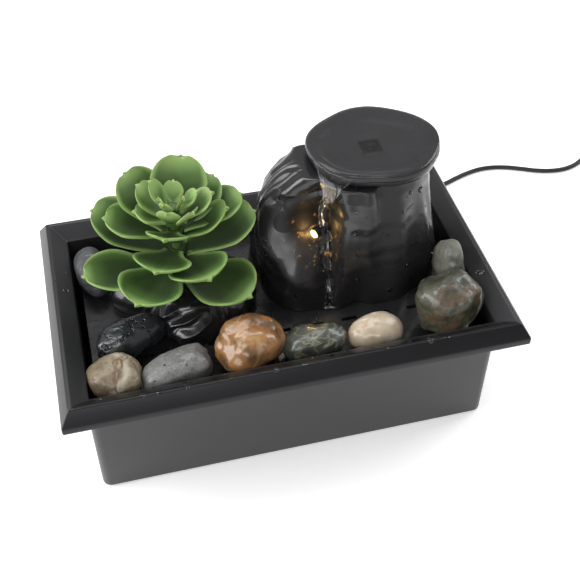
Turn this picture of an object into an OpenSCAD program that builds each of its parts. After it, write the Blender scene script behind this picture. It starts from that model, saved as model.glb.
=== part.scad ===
// Tabletop water fountain: a basin with a lift-out deck, a moulded rock with a spill dish,
// an artificial succulent, loose river stones, a small pump and a low-voltage cord.
// Millimetres, +Z up, +Y to the back. The origin is the centre of the basin's footprint.

/* [Basin] */
// Width over the rim
basin_w = 260; // [256:1:330]
// Depth over the rim
basin_d = 157; // [154:1:200]
// Height of the rim above the table
basin_h = 86.4; // [80:0.2:105]
// Thickness of the basin's walls and floor
basin_wall = 2.6; // [2:0.1:4]
// Width of the rim, from its lip to the inner wall
rim_w = 16; // [14:0.5:20]
// Height of the upright lip
lip_h = 4.4; // [3:0.2:8]
// Height of the sloping fascia above the lip
fascia_h = 8.2; // [6:0.2:12]
// How far the inner slope of the rim drops
slope_h = 6.8; // [4:0.2:9]
// Radius of the basin's upright outer corners
corner_r = 5; // [3.5:0.5:10]
// Thickness of the anti-slip pads
pad_h = 1.2; // [0.8:0.1:3]
// Radius of the anti-slip pads
pad_r = 8; // [5:0.5:12]

/* [Deck] */
// Depth of the deck's top below the rim
deck_drop = 22.4; // [18:0.2:26]
// Thickness of the deck
deck_t = 2.5; // [2:0.1:4]
// Gap between the deck and the basin at the left and right
deck_gap_x = 4; // [1:0.5:8]
// Gap between the deck and the basin at the front and back
deck_gap_y = 2; // [1:0.5:6]
// Radius of the deck's posts
post_r = 5; // [4:0.5:7]
// Gap under a post, so that the deck lifts out freely
seat_gap = 0.05; // [0.02:0.01:0.2]
// Radius of the deck's opening over the pump
deck_port_r = 20; // [17:0.5:22]

/* [Rock] */
// Height of the rock column above the deck
column_h = 78; // [70:1:110]
// Distance of the column's axis from the deck's right edge
column_inset = 60; // [59:1:70]
// Place of the column's axis behind the basin's centre
column_y = 20; // [16:1:22]
// Wall of the hollow mouldings
rock_wall = 3; // [2.5:0.1:3.5]
// Depth of the cave and its water groove
cave_depth = 22; // [14:1:24]
// Height of the low rock above the deck
mound_h = 23; // [18:1:25]
// Distance of the low rock's axis from the deck's left edge
mound_inset = 57; // [55:1:64]
// Place of the low rock's axis behind the basin's centre
mound_y = 10; // [4:1:14]

/* [Spill dish] */
// Thickness of the dish at its edge
dish_t = 8.5; // [7:0.5:12]
// Depth of the bowl below the dish's edge
bowl_depth = 3.6; // [2:0.2:4]
// Side of the square water outlet
outlet_side = 11.5; // [9.5:0.5:12]

/* [Plumbing] */
// Outer radius of the pump's nozzle
nozzle_r = 4.5; // [4:0.1:4.7]
// Wall of the nozzle
nozzle_wall = 1.4; // [1:0.1:1.6]
// Wall of the riser tube
tube_wall = 1.4; // [1:0.1:1.6]
// Radial clearance of pushed-on and turning fits
fit_gap = 0.05; // [0.02:0.01:0.09]
// Height of the suction cups
cup_h = 6; // [5:0.5:9]

/* [Succulent] */
// Radius of the stem's foot in its socket
stem_r = 4; // [3:0.1:4.5]
// Length of the stem's foot inside the socket
stem_seat = 18; // [12:1:19]
// Thickness of a leaf at its middle
leaf_t = 2.4; // [1.6:0.1:3]
// Size of all the leaves against the usual ones
leaf_scale = 1; // [0.8:0.01:1.05]

/* [Hidden] */
$fn = 48;

// Levels and edges that several pieces share
floor_top = pad_h + basin_wall;
inner_w = basin_w - 2 * rim_w;
inner_d = basin_d - 2 * rim_w;
outer_w = inner_w + 2 * basin_wall;
outer_d = inner_d + 2 * basin_wall;
lip_z = basin_h - fascia_h - lip_h;
slope_z = basin_h - slope_h;
deck_top = basin_h - deck_drop;
deck_w = inner_w - 2 * deck_gap_x;
deck_d = inner_d - 2 * deck_gap_y;
column_x = deck_w / 2 - column_inset;
column_top = deck_top + column_h;
mound_x = mound_inset - deck_w / 2;
post_x = deck_w / 2 - 8;
post_y = deck_d / 2 - 8;
wall_back = outer_d / 2;

// Pump: the nozzle stands on the axis of the dish's outlet
pump_x = column_x + 12;
pump_y = column_y;
pump_z = floor_top + cup_h;
pump_w = 38;
pump_l = 42;
pump_h = 38;
pump_front = pump_y - 8;
pump_back = pump_front + pump_l;
pump_top = pump_z + pump_h;
axis_z = pump_z + 22;
chamber_r = 12;
chamber_l = 14;
well_r = 7;
well_l = 22;
sleeve_r = 8;
shaft_r = 1;
nozzle_top = pump_top + 10;
tube_in = nozzle_r + fit_gap;
tube_out = tube_in + tube_wall;
collar_r = tube_out + 2.4;
cover_t = 3;
dial_r = 11;
dial_t = 2;
hub_pin_r = 4;
window_r = 2.2;
window_at = 7.5;

function unit(v) = v / norm(v);
function wave(a, u) = 1.5 * sin(5 * a + 150 * u + 40) + 1.1 * sin(9 * a - 220 * u) + 0.8 * sin(13 * a + 90);

// Half-widths of the column from its axis, against the share of its height
column_left = [[0, 57], [0.45, 56], [0.75, 53], [0.87, 46], [0.95, 37], [1, 30]];
column_right = [[0, 57], [0.2, 56], [0.5, 50], [0.75, 46.5], [0.9, 45], [1, 43]];
column_front = [[0, 38], [0.15, 37.5], [0.5, 35], [0.8, 32], [0.92, 29.5], [1, 27]];
column_back = [[0, 38], [0.5, 36], [0.8, 33], [1, 28]];
// The notch: a cave high up that narrows down to a water groove
notch_turn = [[0.1, -120], [0.2, -121], [0.5, -136], [0.75, -145], [1, -145]];
notch_half = [[0.1, 4], [0.2, 6], [0.5, 15], [0.8, 24], [1, 25]];
notch_share = [[0, 0], [0.12, 0.1], [0.3, 0.35], [0.5, 0.85], [0.6, 1], [0.8, 1], [0.95, 0.55], [1, 0.3]];

function squircle(a, right, left, back, front, p) =
    pow(pow(abs(cos(a)) / (cos(a) > 0 ? right : left), p)
        + pow(abs(sin(a)) / (sin(a) > 0 ? back : front), p), -1 / p);
function column_r(a, u) =
    squircle(a, lookup(u, column_right), lookup(u, column_left), lookup(u, column_back),
        lookup(u, column_front), 2.6)
    + wave(a, u)
    - cave_depth * lookup(u, notch_share)
        * exp(-pow((a - lookup(u, notch_turn)) / lookup(u, notch_half), 2));
function column_ring(u, inset, z) =
    [for (i = [0 : 43]) let (a = i * 360 / 44 - 180, r = column_r(a, u) - inset)
        [column_x + r * cos(a), column_y + r * sin(a), z]];

function mound_r(a, u) =
    squircle(a, 43, 40, 36, 35, 2.3) * sqrt(1 - 0.72 * pow(u, 2.4)) + 1.8 * sin(4 * a + 200 * u)
    + 1.2 * sin(7 * a - 120 * u)
    - 17 * (1 - 0.75 * pow(u, 3)) * exp(-pow((a + 147) / 26, 2));
function mound_ring(u, inset, z) =
    [for (i = [0 : 35]) let (a = i * 10 - 180, r = mound_r(a, u) - inset)
        [mound_x + r * cos(a), mound_y + r * sin(a), z]];

function dish_r(a) = 35.8 + 3.25 * cos(a) + 1.2 * sin(a) + 2.4 * cos(2 * a) - 0.45 * sin(2 * a)
    + 0.7 * sin(5 * a + 30);
dish_x = pump_x;
dish_y = pump_y + 4;
dish_edge_z = column_top + dish_t;
function dish_ring(share, z) =
    [for (i = [0 : 47]) let (a = i * 7.5, r = dish_r(a) * share)
        [dish_x + r * cos(a), dish_y + r * sin(a), z]];

// Stones: place, length, depth, height, turn and how square each one is
stone_front = inner_d / 2;
stone_list = [
    [-deck_w / 2 + 7.5, inner_d / 2 - 26, 20, 33, 24, 8, 2.2],
    [-deck_w / 2 + 23, -stone_front + 42, 39, 21, 21, 20, 2.6],
    [-deck_w / 2 + 10.8, -stone_front + 15, 30, 26, 22, -8, 2.2],
    [-0.296 * deck_w, -stone_front + 13.6, 41, 21, 19, 14, 2.7],
    [-0.107 * deck_w, -stone_front + 18.6, 39, 31, 28, 18, 2.2],
    [0.057 * deck_w, -stone_front + 13.7, 38, 23, 21, 2, 2.3],
    [0.22 * deck_w, -stone_front + 13.4, 34, 22, 20, 8, 2.1],
    [deck_w / 2 - 16.5, -stone_front + 20.4, 36, 33, 32, 40, 2.5],
    [deck_w / 2 - 5.9, -stone_front + 47, 17.2, 22, 35.5, 12, 2.2]];

// Leaves: bearing, height of the root over the deck, reach, rise to the tip and width
low_leaves = [[184, 28, 53, 10, 36], [-131, 31, 42, 6, 40], [-46, 28, 49, 4, 42], [62, 30, 46, 6, 34],
    [118, 31, 46, 7, 34]];
spread_leaves = [[-119, 45, 31, 10, 34], [-70, 41, 37, 9.5, 36], [6, 41, 46, 17, 38], [156, 43, 46, 22, 38],
    [82, 43, 46, 14, 34]];
high_leaves = [[168, 56, 37, 12, 30], [-9, 54, 29, 18, 23], [-112, 59, 21, 11, 24], [12, 58, 40, 11, 28],
    [130, 57, 33, 25, 33], [68, 58, 26, 31, 33], [40, 56, 34, 18, 28]];
inner_leaves = [[142, 66, 20, 17, 19], [174, 65, 20, 9, 17], [4, 66, 22, 13, 19], [-52, 66, 15, 13, 16],
    [-112, 67, 11, 13, 14]];
bud_leaves = [[140, 73, 12, 15, 12], [72, 73, 9, 12, 12], [2, 73, 14, 9, 12], [-130, 73, 7.5, 9, 9],
    [200, 74, 7, 10, 7], [-40, 74, 7, 10, 7]];
stem_x = mound_x;
stem_y = mound_y;
stem_top = deck_top + 75.5;
socket_top = deck_top + mound_h + 1;
spindle_r = 2.6;

// Cord: its route to the coil and its tail to the plug, from where it leaves the back wall
cord_r = 1.75;
cord_bore = cord_r + 0.06;
grommet_x = pump_x + 26;
grommet_z = 55;
cord_route = [[0, 0, 55], [0, 7, 55], [0, 13.5, 55], [1, 22, 53], [3.5, 32, 46], [8, 42, 34],
    [15, 52, 19], [25, 61, 8], [38, 68, 3], [53, 73, 1.75], [70, 77, 1.75], [84, 81, 1.75],
    [94, 85, 1.75], [104, 88.5, 1.75], [115, 91, 1.75], [126, 91, 1.75], [137, 88.5, 1.75],
    [148, 84, 1.75], [159, 79, 1.75], [170, 76, 1.75], [181, 75.5, 1.75], [191, 78, 1.75],
    [200, 83, 1.75], [206, 87.5, 1.75], [213, 92.5, 1.75]];
tail_route = [[264, 75, 5.25], [264.3, 67, 4.7], [265, 59, 3.4], [266, 51, 3.8], [266, 43, 4.2]];
function behind(p) = [grommet_x + p[0], wall_back + p[1], p[2]];
cord_points = [for (p = cord_route) behind(p)];
tail_points = [for (p = tail_route) behind(p)];
coil_at = behind([237, 75, 0]);
coil_r = 20;
coil_turns_wide = 5;
coil_turns_high = 2;
plug_z = 4.2;
plug_at = behind([266, 43, plug_z]);
pump_side = pump_x + pump_w / 2;
pump_lead_points = [[pump_side, pump_back - 6, pump_top - 8], [pump_side + 3.5, pump_back - 6, pump_top - 8],
    [pump_side + 7, pump_back - 4.5, pump_top - 5], [grommet_x + 2, pump_back - 2, pump_top],
    [grommet_x + 1.2, pump_back + 1.5, grommet_z - 2], [grommet_x, wall_back - basin_wall - 2, grommet_z],
    [grommet_x, wall_back, grommet_z]];

// Lamp: it looks out of the cave, and its lead ends in a plug in the pump's top
lamp_turn = -144;
lamp_z = deck_top + 45;
lamp_r = 3;
lamp_at = column_r(lamp_turn, (lamp_z - deck_top) / column_h);
lamp_back = lamp_at - 6;
lamp_plug_x = pump_x - 14;
lamp_plug_y = pump_y + 6;
lamp_plug_side = 4.6;
lamp_route = [[-10, -14, lamp_z - 2], [-6, -10, lamp_z - 8], [-4, -6, lamp_z - 17], [-3, -3, deck_top + 14],
    [-2, -1, deck_top + 2], [-0.5, 0, pump_top + 10], [0, 0, pump_top + 6]];
lamp_lead_points = concat(
    [[column_x + lamp_back * cos(lamp_turn), column_y + lamp_back * sin(lamp_turn), lamp_z]],
    [for (p = lamp_route) [lamp_plug_x + p[0], lamp_plug_y + p[1], p[2]]]);

// A closed solid through rings that run anticlockwise and upwards
module loft(rings) {
    n = len(rings[0]);
    m = len(rings);
    low = [for (k = [0 : 2]) let (s = [for (p = rings[0]) p[k]]) s * [for (p = rings[0]) 1 / n]];
    high = [for (k = [0 : 2]) let (s = [for (p = rings[m - 1]) p[k]]) s * [for (p = rings[0]) 1 / n]];
    points = concat([for (ring = rings) for (p = ring) p], [low, high]);
    polyhedron(points, concat(
        [for (i = [0 : m - 2]) for (j = [0 : n - 1]) let (k = (j + 1) % n)
            [i * n + j, (i + 1) * n + j, (i + 1) * n + k]],
        [for (i = [0 : m - 2]) for (j = [0 : n - 1]) let (k = (j + 1) % n)
            [i * n + j, (i + 1) * n + k, i * n + k]],
        [for (j = [0 : n - 1]) [m * n, j, (j + 1) % n]],
        [for (j = [0 : n - 1]) [m * n + 1, (m - 1) * n + (j + 1) % n, (m - 1) * n + j]]));
}

// A shell with an open foot, between outer and inner rings that run upwards
module shell(outer, inner) {
    n = len(outer[0]);
    m = len(outer);
    q = m * n;
    mid_out = [for (k = [0 : 2]) [for (p = outer[m - 1]) p[k]] * [for (p = outer[0]) 1 / n]];
    mid_in = [for (k = [0 : 2]) [for (p = inner[m - 1]) p[k]] * [for (p = outer[0]) 1 / n]];
    points = concat([for (ring = outer) for (p = ring) p], [for (ring = inner) for (p = ring) p],
        [mid_out, mid_in]);
    polyhedron(points, concat(
        [for (i = [0 : m - 2]) for (j = [0 : n - 1]) let (k = (j + 1) % n)
            [i * n + j, (i + 1) * n + j, (i + 1) * n + k]],
        [for (i = [0 : m - 2]) for (j = [0 : n - 1]) let (k = (j + 1) % n)
            [i * n + j, (i + 1) * n + k, i * n + k]],
        [for (i = [0 : m - 2]) for (j = [0 : n - 1]) let (k = (j + 1) % n)
            [q + i * n + j, q + (i + 1) * n + k, q + (i + 1) * n + j]],
        [for (i = [0 : m - 2]) for (j = [0 : n - 1]) let (k = (j + 1) % n)
            [q + i * n + j, q + i * n + k, q + (i + 1) * n + k]],
        [for (j = [0 : n - 1]) let (k = (j + 1) % n) [2 * q, (m - 1) * n + k, (m - 1) * n + j]],
        [for (j = [0 : n - 1]) let (k = (j + 1) % n) [2 * q + 1, q + (m - 1) * n + j, q + (m - 1) * n + k]],
        [for (j = [0 : n - 1]) let (k = (j + 1) % n) [j, k, q + k]],
        [for (j = [0 : n - 1]) let (k = (j + 1) % n) [j, q + k, q + j]]));
}

// A profile of [inset, height] points carried round a rectangle with mitred corners
module mitred_ring(profile, w, d) {
    n = len(profile);
    signs = [[1, 1], [-1, 1], [-1, -1], [1, -1]];
    points = [for (s = signs) for (p = profile) [s[0] * (w / 2 - p[0]), s[1] * (d / 2 - p[0]), p[1]]];
    polyhedron(points, [for (c = [0 : 3]) for (j = [0 : n - 1]) let (e = (c + 1) % 4, k = (j + 1) % n)
        [c * n + j, c * n + k, e * n + k, e * n + j]]);
}

module rounded_rect(w, d, r) {
    square([w - 2 * r, d], center = true);
    square([w, d - 2 * r], center = true);
    for (x = [-1, 1]) for (y = [-1, 1]) translate([x * (w / 2 - r), y * (d / 2 - r)]) circle(r);
}

// A round rod that runs to the back from a point
module rod_y(x, y, z, r, l) {
    translate([x, y, z]) rotate([-90, 0, 0]) cylinder(h = l, r = r);
}

// A tube swept along points, with a ring of eight corners at each point
module swept(points, r) {
    m = len(points);
    function along(i) = unit(points[min(i + 1, m - 1)] - points[max(i - 1, 0)]);
    function side(t) = unit(cross(abs(t[2]) > 0.9 ? [1, 0, 0] : [0, 0, 1], t));
    rings = [for (i = [0 : m - 1]) let (t = along(i), s = side(t), v = cross(t, s))
        [for (j = [0 : 7]) let (a = j * 45 + 22.5) points[i] + r * (s * cos(a) + v * sin(a))]];
    flat = [for (ring = rings) for (p = ring) p];
    polyhedron(flat, concat(
        [for (i = [0 : m - 2]) for (j = [0 : 7]) let (k = (j + 1) % 8)
            [i * 8 + j, (i + 1) * 8 + j, (i + 1) * 8 + k]],
        [for (i = [0 : m - 2]) for (j = [0 : 7]) let (k = (j + 1) % 8)
            [i * 8 + j, (i + 1) * 8 + k, i * 8 + k]],
        [[for (j = [0 : 7]) j]], [[for (j = [7 : -1 : 0]) (m - 1) * 8 + j]]));
}

// A smooth curve through points: each span gets steps points by Catmull and Rom's rule
function curved(p, steps) = concat(
    [for (i = [0 : len(p) - 2])
        let (a = p[max(i - 1, 0)], b = p[i], c = p[i + 1], d = p[min(i + 2, len(p) - 1)])
        for (s = [0 : steps - 1]) let (t = s / steps)
            0.5 * (2 * b + (c - a) * t + (2 * a - 5 * b + 4 * c - d) * t * t
                + (3 * b - a - 3 * c + d) * t * t * t)],
    [p[len(p) - 1]]);

module wood_screw(h, r, head_r) {
    cylinder(h = h, r = r);
    cylinder(h = 1.6, r = head_r);
}

// Basin --------------------------------------------------------------------------------------------

module basin() {
    body_in = rim_w - basin_wall;
    crest = 5;
    crest_w = 2;
    rim_t = 2.4;
    color("#2b2b2e") difference() {
        union() {
            mitred_ring([[0, lip_z], [0, lip_z + lip_h], [crest, basin_h], [crest + crest_w, basin_h],
                [rim_w, slope_z], [rim_w, slope_z - 4], [body_in, slope_z - 4], [body_in, slope_z - 2.2],
                [crest + rim_t, basin_h - 3], [crest + 0.9, basin_h - 3], [rim_t, lip_z + lip_h - 1],
                [rim_t, lip_z]], basin_w, basin_d);
            translate([0, 0, pad_h]) linear_extrude(slope_z - 3 - pad_h)
                rounded_rect(outer_w, outer_d, corner_r);
        }
        translate([0, 0, floor_top]) linear_extrude(basin_h)
            rounded_rect(inner_w, inner_d, corner_r - basin_wall);
        rod_y(grommet_x, wall_back - 6, grommet_z, 3.6, 9);
    }
}

module foot_pads() {
    color("#1a1a1a") for (x = [-1, 1]) for (y = [-1, 1])
        translate([x * (outer_w / 2 - 18), y * (outer_d / 2 - 18), 0]) cylinder(h = pad_h, r = pad_r);
}

// The grommet fills the hole in the back wall; its tapered tail guards the cord
module cord_grommet() {
    color("#161616") translate([grommet_x, wall_back, grommet_z]) rotate([-90, 0, 0]) rotate_extrude() {
        polygon([[cord_bore, -basin_wall - 1.6], [5.4, -basin_wall - 1.6], [5.4, -basin_wall - 0.02],
            [3.55, -basin_wall - 0.02], [3.55, 0.02], [5.4, 0.02], [5.4, 1.8], [3.4, 3], [2.5, 12],
            [cord_bore, 12]]);
    }
}

// Deck ---------------------------------------------------------------------------------------------

column_bosses = [for (a = [160, 40, -62]) let (r = column_r(a, 0) - rock_wall - 3.6)
    [column_x + r * cos(a), column_y + r * sin(a)]];
mound_bosses = [for (a = [150, -20]) let (r = mound_r(a, 0) - rock_wall - 3.6)
    [mound_x + r * cos(a), mound_y + r * sin(a)]];

module deck_plate() {
    color("#303034") {
        translate([0, 0, deck_top - deck_t]) linear_extrude(deck_t) difference() {
            rounded_rect(deck_w, deck_d, 4);
            translate([column_x + 6, column_y]) circle(deck_port_r);
            for (p = concat(column_bosses, mound_bosses)) translate(p) circle(1.6);
            for (i = [0 : 8]) translate([-deck_w / 2 + 30 + i * (deck_w - 60) / 8, -deck_d / 2 + 34])
                square([9, 2.4], center = true);
        }
        for (x = [-1, 1]) for (y = [-1, 1]) translate([x * post_x, y * post_y, floor_top + seat_gap])
            difference() {
                cylinder(h = deck_top - deck_t - floor_top - seat_gap, r = post_r);
                translate([0, 0, -1]) cylinder(h = deck_top - deck_t - floor_top - 4, r = post_r - 1.8);
            }
    }
}

module rock_column() {
    levels = [0, 0.08, 0.17, 0.27, 0.37, 0.47, 0.57, 0.66, 0.75, 0.83, 0.9, 0.96, 1];
    color("#222224") difference() {
        union() {
            shell([for (u = levels) column_ring(u, 0, deck_top + u * column_h)],
                [for (u = levels) column_ring(u, rock_wall, deck_top + u * (column_h - rock_wall))]);
            for (p = column_bosses) translate([p[0], p[1], deck_top]) cylinder(h = 14, r = 4);
        }
        translate([pump_x, pump_y, column_top - rock_wall - 1])
            cylinder(h = rock_wall + 2, r = collar_r + 0.3);
        for (p = column_bosses) translate([p[0], p[1], deck_top - 1]) cylinder(h = 12, r = 1.25);
        for (p = dish_bosses) translate([p[0], p[1], column_top - rock_wall - 1])
            cylinder(h = rock_wall + 2, r = 1.6);
        lamp_axis() translate([0, 0, 12]) cylinder(h = 40, r = lamp_r + 0.6);
        lamp_axis() translate([0, 0, 12]) cylinder(h = lamp_at - 12 - 4.7, r = lamp_r + 1.8);
    }
}

module column_screws() {
    color("silver") for (p = column_bosses) translate([p[0], p[1], deck_top - deck_t - 1.6])
        wood_screw(11, 1.25, 3);
}

module rock_mound() {
    levels = [0, 0.15, 0.3, 0.45, 0.6, 0.75, 0.88, 1];
    color("#222224") difference() {
        union() {
            shell([for (u = levels) mound_ring(u, 0, deck_top + u * mound_h)],
                [for (u = levels) mound_ring(u, rock_wall, deck_top + u * (mound_h - rock_wall))]);
            for (p = mound_bosses) translate([p[0], p[1], deck_top]) cylinder(h = 8, r = 4);
        }
        translate([stem_x, stem_y, deck_top + mound_h - rock_wall - 1])
            cylinder(h = rock_wall + 2, r = stem_r + 2.5 + fit_gap);
        for (p = mound_bosses) translate([p[0], p[1], deck_top - 1]) cylinder(h = 7, r = 1.25);
    }
}

module mound_screws() {
    color("silver") for (p = mound_bosses) translate([p[0], p[1], deck_top - deck_t - 1.6])
        wood_screw(8, 1.25, 3);
}

// Spill dish and riser -----------------------------------------------------------------------------

dish_bosses = [for (s = [-1, 1]) [pump_x + s * 16, pump_y + 2]];

module spill_dish() {
    bowl_z = dish_edge_z - bowl_depth;
    color("#2a2a2d") difference() {
        union() {
            loft([dish_ring(0.8, column_top), dish_ring(0.97, column_top + 1.4),
                dish_ring(1, column_top + 0.45 * dish_t), dish_ring(0.985, dish_edge_z - 1.6),
                dish_ring(0.94, dish_edge_z), dish_ring(0.9, dish_edge_z - 0.6),
                dish_ring(0.82, bowl_z + 0.8), dish_ring(0.6, bowl_z)]);
            translate([pump_x, pump_y, column_top - 10]) cylinder(h = 11, r = collar_r);
        }
        translate([pump_x, pump_y, column_top]) cube([outlet_side, outlet_side, 3 * dish_t], center = true);
        translate([pump_x, pump_y, column_top - 11]) cylinder(h = 11, r = tube_out + fit_gap);
        for (p = dish_bosses) translate([p[0], p[1], column_top - 1]) cylinder(h = 4, r = 1.25);
    }
}

module dish_screws() {
    color("silver") for (p = dish_bosses) translate([p[0], p[1], column_top - rock_wall - 1.6])
        wood_screw(rock_wall + 4, 1.25, 3);
}

module riser_tube() {
    color("#3a3d42") translate([pump_x, pump_y, pump_top + 1]) difference() {
        cylinder(h = column_top - 0.5 - pump_top - 1, r = tube_out);
        translate([0, 0, -1]) cylinder(h = column_top - pump_top + 1, r = tube_in);
    }
}

// Lamp ---------------------------------------------------------------------------------------------

module lamp_axis() {
    translate([column_x, column_y, lamp_z]) rotate([0, 0, lamp_turn]) rotate([0, 90, 0]) children();
}

module lamp_holder() {
    color("#151515") lamp_axis() translate([0, 0, lamp_back]) difference() {
        union() {
            cylinder(h = 7, r = lamp_r + 0.55);
            cylinder(h = 1.2, r = lamp_r + 1.6);
        }
        translate([0, 0, 1.5]) cylinder(h = 7, r = 2.55);
    }
}

module lamp_lens() {
    color("#ffd98a") lamp_axis() translate([0, 0, lamp_at - 4.4]) {
        cylinder(h = 5.6, r = 2.5);
        translate([0, 0, 5.6]) sphere(2.5);
    }
}

module lamp_lead() {
    color("#151515") swept(curved(lamp_lead_points, 2), 1);
}

module lamp_plug() {
    color("#e8e4da") translate([lamp_plug_x, lamp_plug_y, pump_top - 4]) linear_extrude(8)
        square(lamp_plug_side, center = true);
}

// Pump ---------------------------------------------------------------------------------------------

module pump_body() {
    color("#1c1e22") difference() {
        union() {
            translate([pump_x, pump_back, pump_z]) rotate([90, 0, 0]) linear_extrude(pump_l)
                translate([0, pump_h / 2]) rounded_rect(pump_w, pump_h, 3);
            translate([pump_x, pump_y, pump_top - 1]) cylinder(h = 11, r = nozzle_r);
        }
        rod_y(pump_x, pump_front - 1, axis_z, chamber_r, chamber_l + 1);
        rod_y(pump_x, pump_front, axis_z, well_r, chamber_l + well_l);
        rod_y(pump_x, pump_front + chamber_l + well_l - 1, axis_z, 3, 4);
        translate([pump_x, pump_y, axis_z + 5]) cylinder(h = 40, r = nozzle_r - nozzle_wall);
        translate([lamp_plug_x, lamp_plug_y, pump_top - 4.2]) linear_extrude(6)
            square(lamp_plug_side + 0.2, center = true);
        difference() {
            translate([pump_x - 13, pump_front + chamber_l + 1.5, axis_z - 19.5]) cube([26, 18, 30.5]);
            rod_y(pump_x, pump_front, axis_z, sleeve_r, pump_l);
        }
    }
}

stator_y = pump_front + chamber_l + 4;

module stator_core() {
    color("#8a8d92") difference() {
        translate([pump_x - 12, stator_y, axis_z - 16]) cube([24, 13, 26]);
        rod_y(pump_x, stator_y - 1, axis_z, sleeve_r + 0.2, 15);
        translate([pump_x - 8, stator_y - 1, axis_z - 11]) cube([16, 15, 40]);
    }
}

module stator_coil() {
    color("#b5651d") difference() {
        translate([pump_x - 7.5, stator_y - 2, axis_z - 18.5]) cube([15, 17, 9.9]);
        translate([pump_x - 13, stator_y - 0.1, axis_z - 16.1]) cube([26, 13.2, 5.2]);
        translate([pump_x, stator_y + 6.5, axis_z - 16.1 + 2.6]) cube([26, 13.2, 5.2], center = true);
    }
}

module intake_cover() {
    color("#26282c") difference() {
        union() {
            translate([pump_x, pump_front, pump_z]) rotate([90, 0, 0]) linear_extrude(cover_t)
                translate([0, pump_h / 2]) rounded_rect(pump_w, pump_h, 3);
            rod_y(pump_x, pump_front - 0.5, axis_z, chamber_r - fit_gap, 2.5);
            rod_y(pump_x, pump_front - cover_t - dial_t - 0.4, axis_z, hub_pin_r, 4);
        }
        rod_y(pump_x, pump_front - 1, axis_z, 2.2, 4);
        for (s = [-1, 1]) rod_y(pump_x + s * window_at, pump_front - cover_t - 1, axis_z, window_r, 8);
        for (i = [-3 : 3]) translate([pump_x + i * 4.6 - 1, pump_front - cover_t - 1, pump_z + 3])
            cube([2, cover_t + 2, 5]);
    }
}

module flow_dial() {
    color("#3c4046") difference() {
        union() {
            rod_y(pump_x, pump_front - cover_t - dial_t - 0.1, axis_z, dial_r, dial_t);
            translate([pump_x, pump_front - cover_t - dial_t - 1.1, axis_z + dial_r - 2])
                cube([3, 2, 6], center = true);
        }
        rod_y(pump_x, pump_front - cover_t - dial_t - 5, axis_z, hub_pin_r + fit_gap, 10);
        for (s = [-1, 1])
            rod_y(pump_x + s * window_at, pump_front - cover_t - dial_t - 5, axis_z, window_r, 10);
    }
}

module impeller() {
    color("#d8dade") difference() {
        union() {
            rod_y(pump_x, pump_front + 11, axis_z, 10.5, 1.5);
            rod_y(pump_x, pump_front + 4, axis_z, 2.5, chamber_l + well_l - 8);
            for (k = [0 : 3]) translate([pump_x, pump_front + 4.5, axis_z]) rotate([0, k * 90, 0])
                translate([1.5, 0, -0.6]) cube([8.5, 7, 1.2]);
        }
        rod_y(pump_x, pump_front, axis_z, shaft_r + fit_gap, 50);
    }
}

module rotor_magnet() {
    color("#4a4a4c") difference() {
        rod_y(pump_x, pump_front + chamber_l, axis_z, well_r - 0.6, well_l - 4.5);
        rod_y(pump_x, pump_front + chamber_l - 1, axis_z, 2.52, well_l);
    }
}

module pump_shaft() {
    color("#f0efe9") rod_y(pump_x, pump_front - 0.6, axis_z, shaft_r, chamber_l + well_l + 2.4);
}

module front_bush() {
    color("#101010") difference() {
        rod_y(pump_x, pump_front - 0.9, axis_z, 2.18, 2.8);
        rod_y(pump_x, pump_front - 0.7, axis_z, shaft_r + fit_gap, 4);
    }
}

module rear_bush() {
    color("#101010") difference() {
        rod_y(pump_x, pump_front + chamber_l + well_l - 0.9, axis_z, 2.98, 3.8);
        rod_y(pump_x, pump_front + chamber_l + well_l - 2, axis_z, shaft_r + 0.01, 4);
    }
}

module suction_cups() {
    color("#3d4a3f") for (x = [-1, 1]) for (y = [7, pump_l - 7])
        translate([pump_x + x * 13, pump_front + y, floor_top]) rotate_extrude()
            polygon([[0, 2], [6.2, 0], [7, 0.3], [3, 3], [3, cup_h], [0, cup_h]]);
}

module pump_lead() {
    color("#151515") swept(curved(pump_lead_points, 3), cord_r - 0.02);
}

// Succulent ----------------------------------------------------------------------------------------

module plant_socket() {
    color("#1f2a1c") translate([stem_x, stem_y, 0]) difference() {
        union() {
            translate([0, 0, socket_top - stem_seat - 2]) cylinder(h = stem_seat + 2, r = stem_r + 2.5);
            translate([0, 0, socket_top - 1]) cylinder(h = 1.5, r = stem_r + 4);
        }
        translate([0, 0, socket_top - stem_seat]) cylinder(h = stem_seat + 2, r = stem_r + fit_gap);
    }
}

module plant_stem() {
    color("#7f9a58") translate([stem_x, stem_y, 0]) {
        translate([0, 0, socket_top - stem_seat + 0.1]) cylinder(h = stem_seat + 0.5, r = stem_r);
        translate([0, 0, socket_top]) cylinder(h = stem_top - socket_top, r = spindle_r);
    }
}

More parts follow.
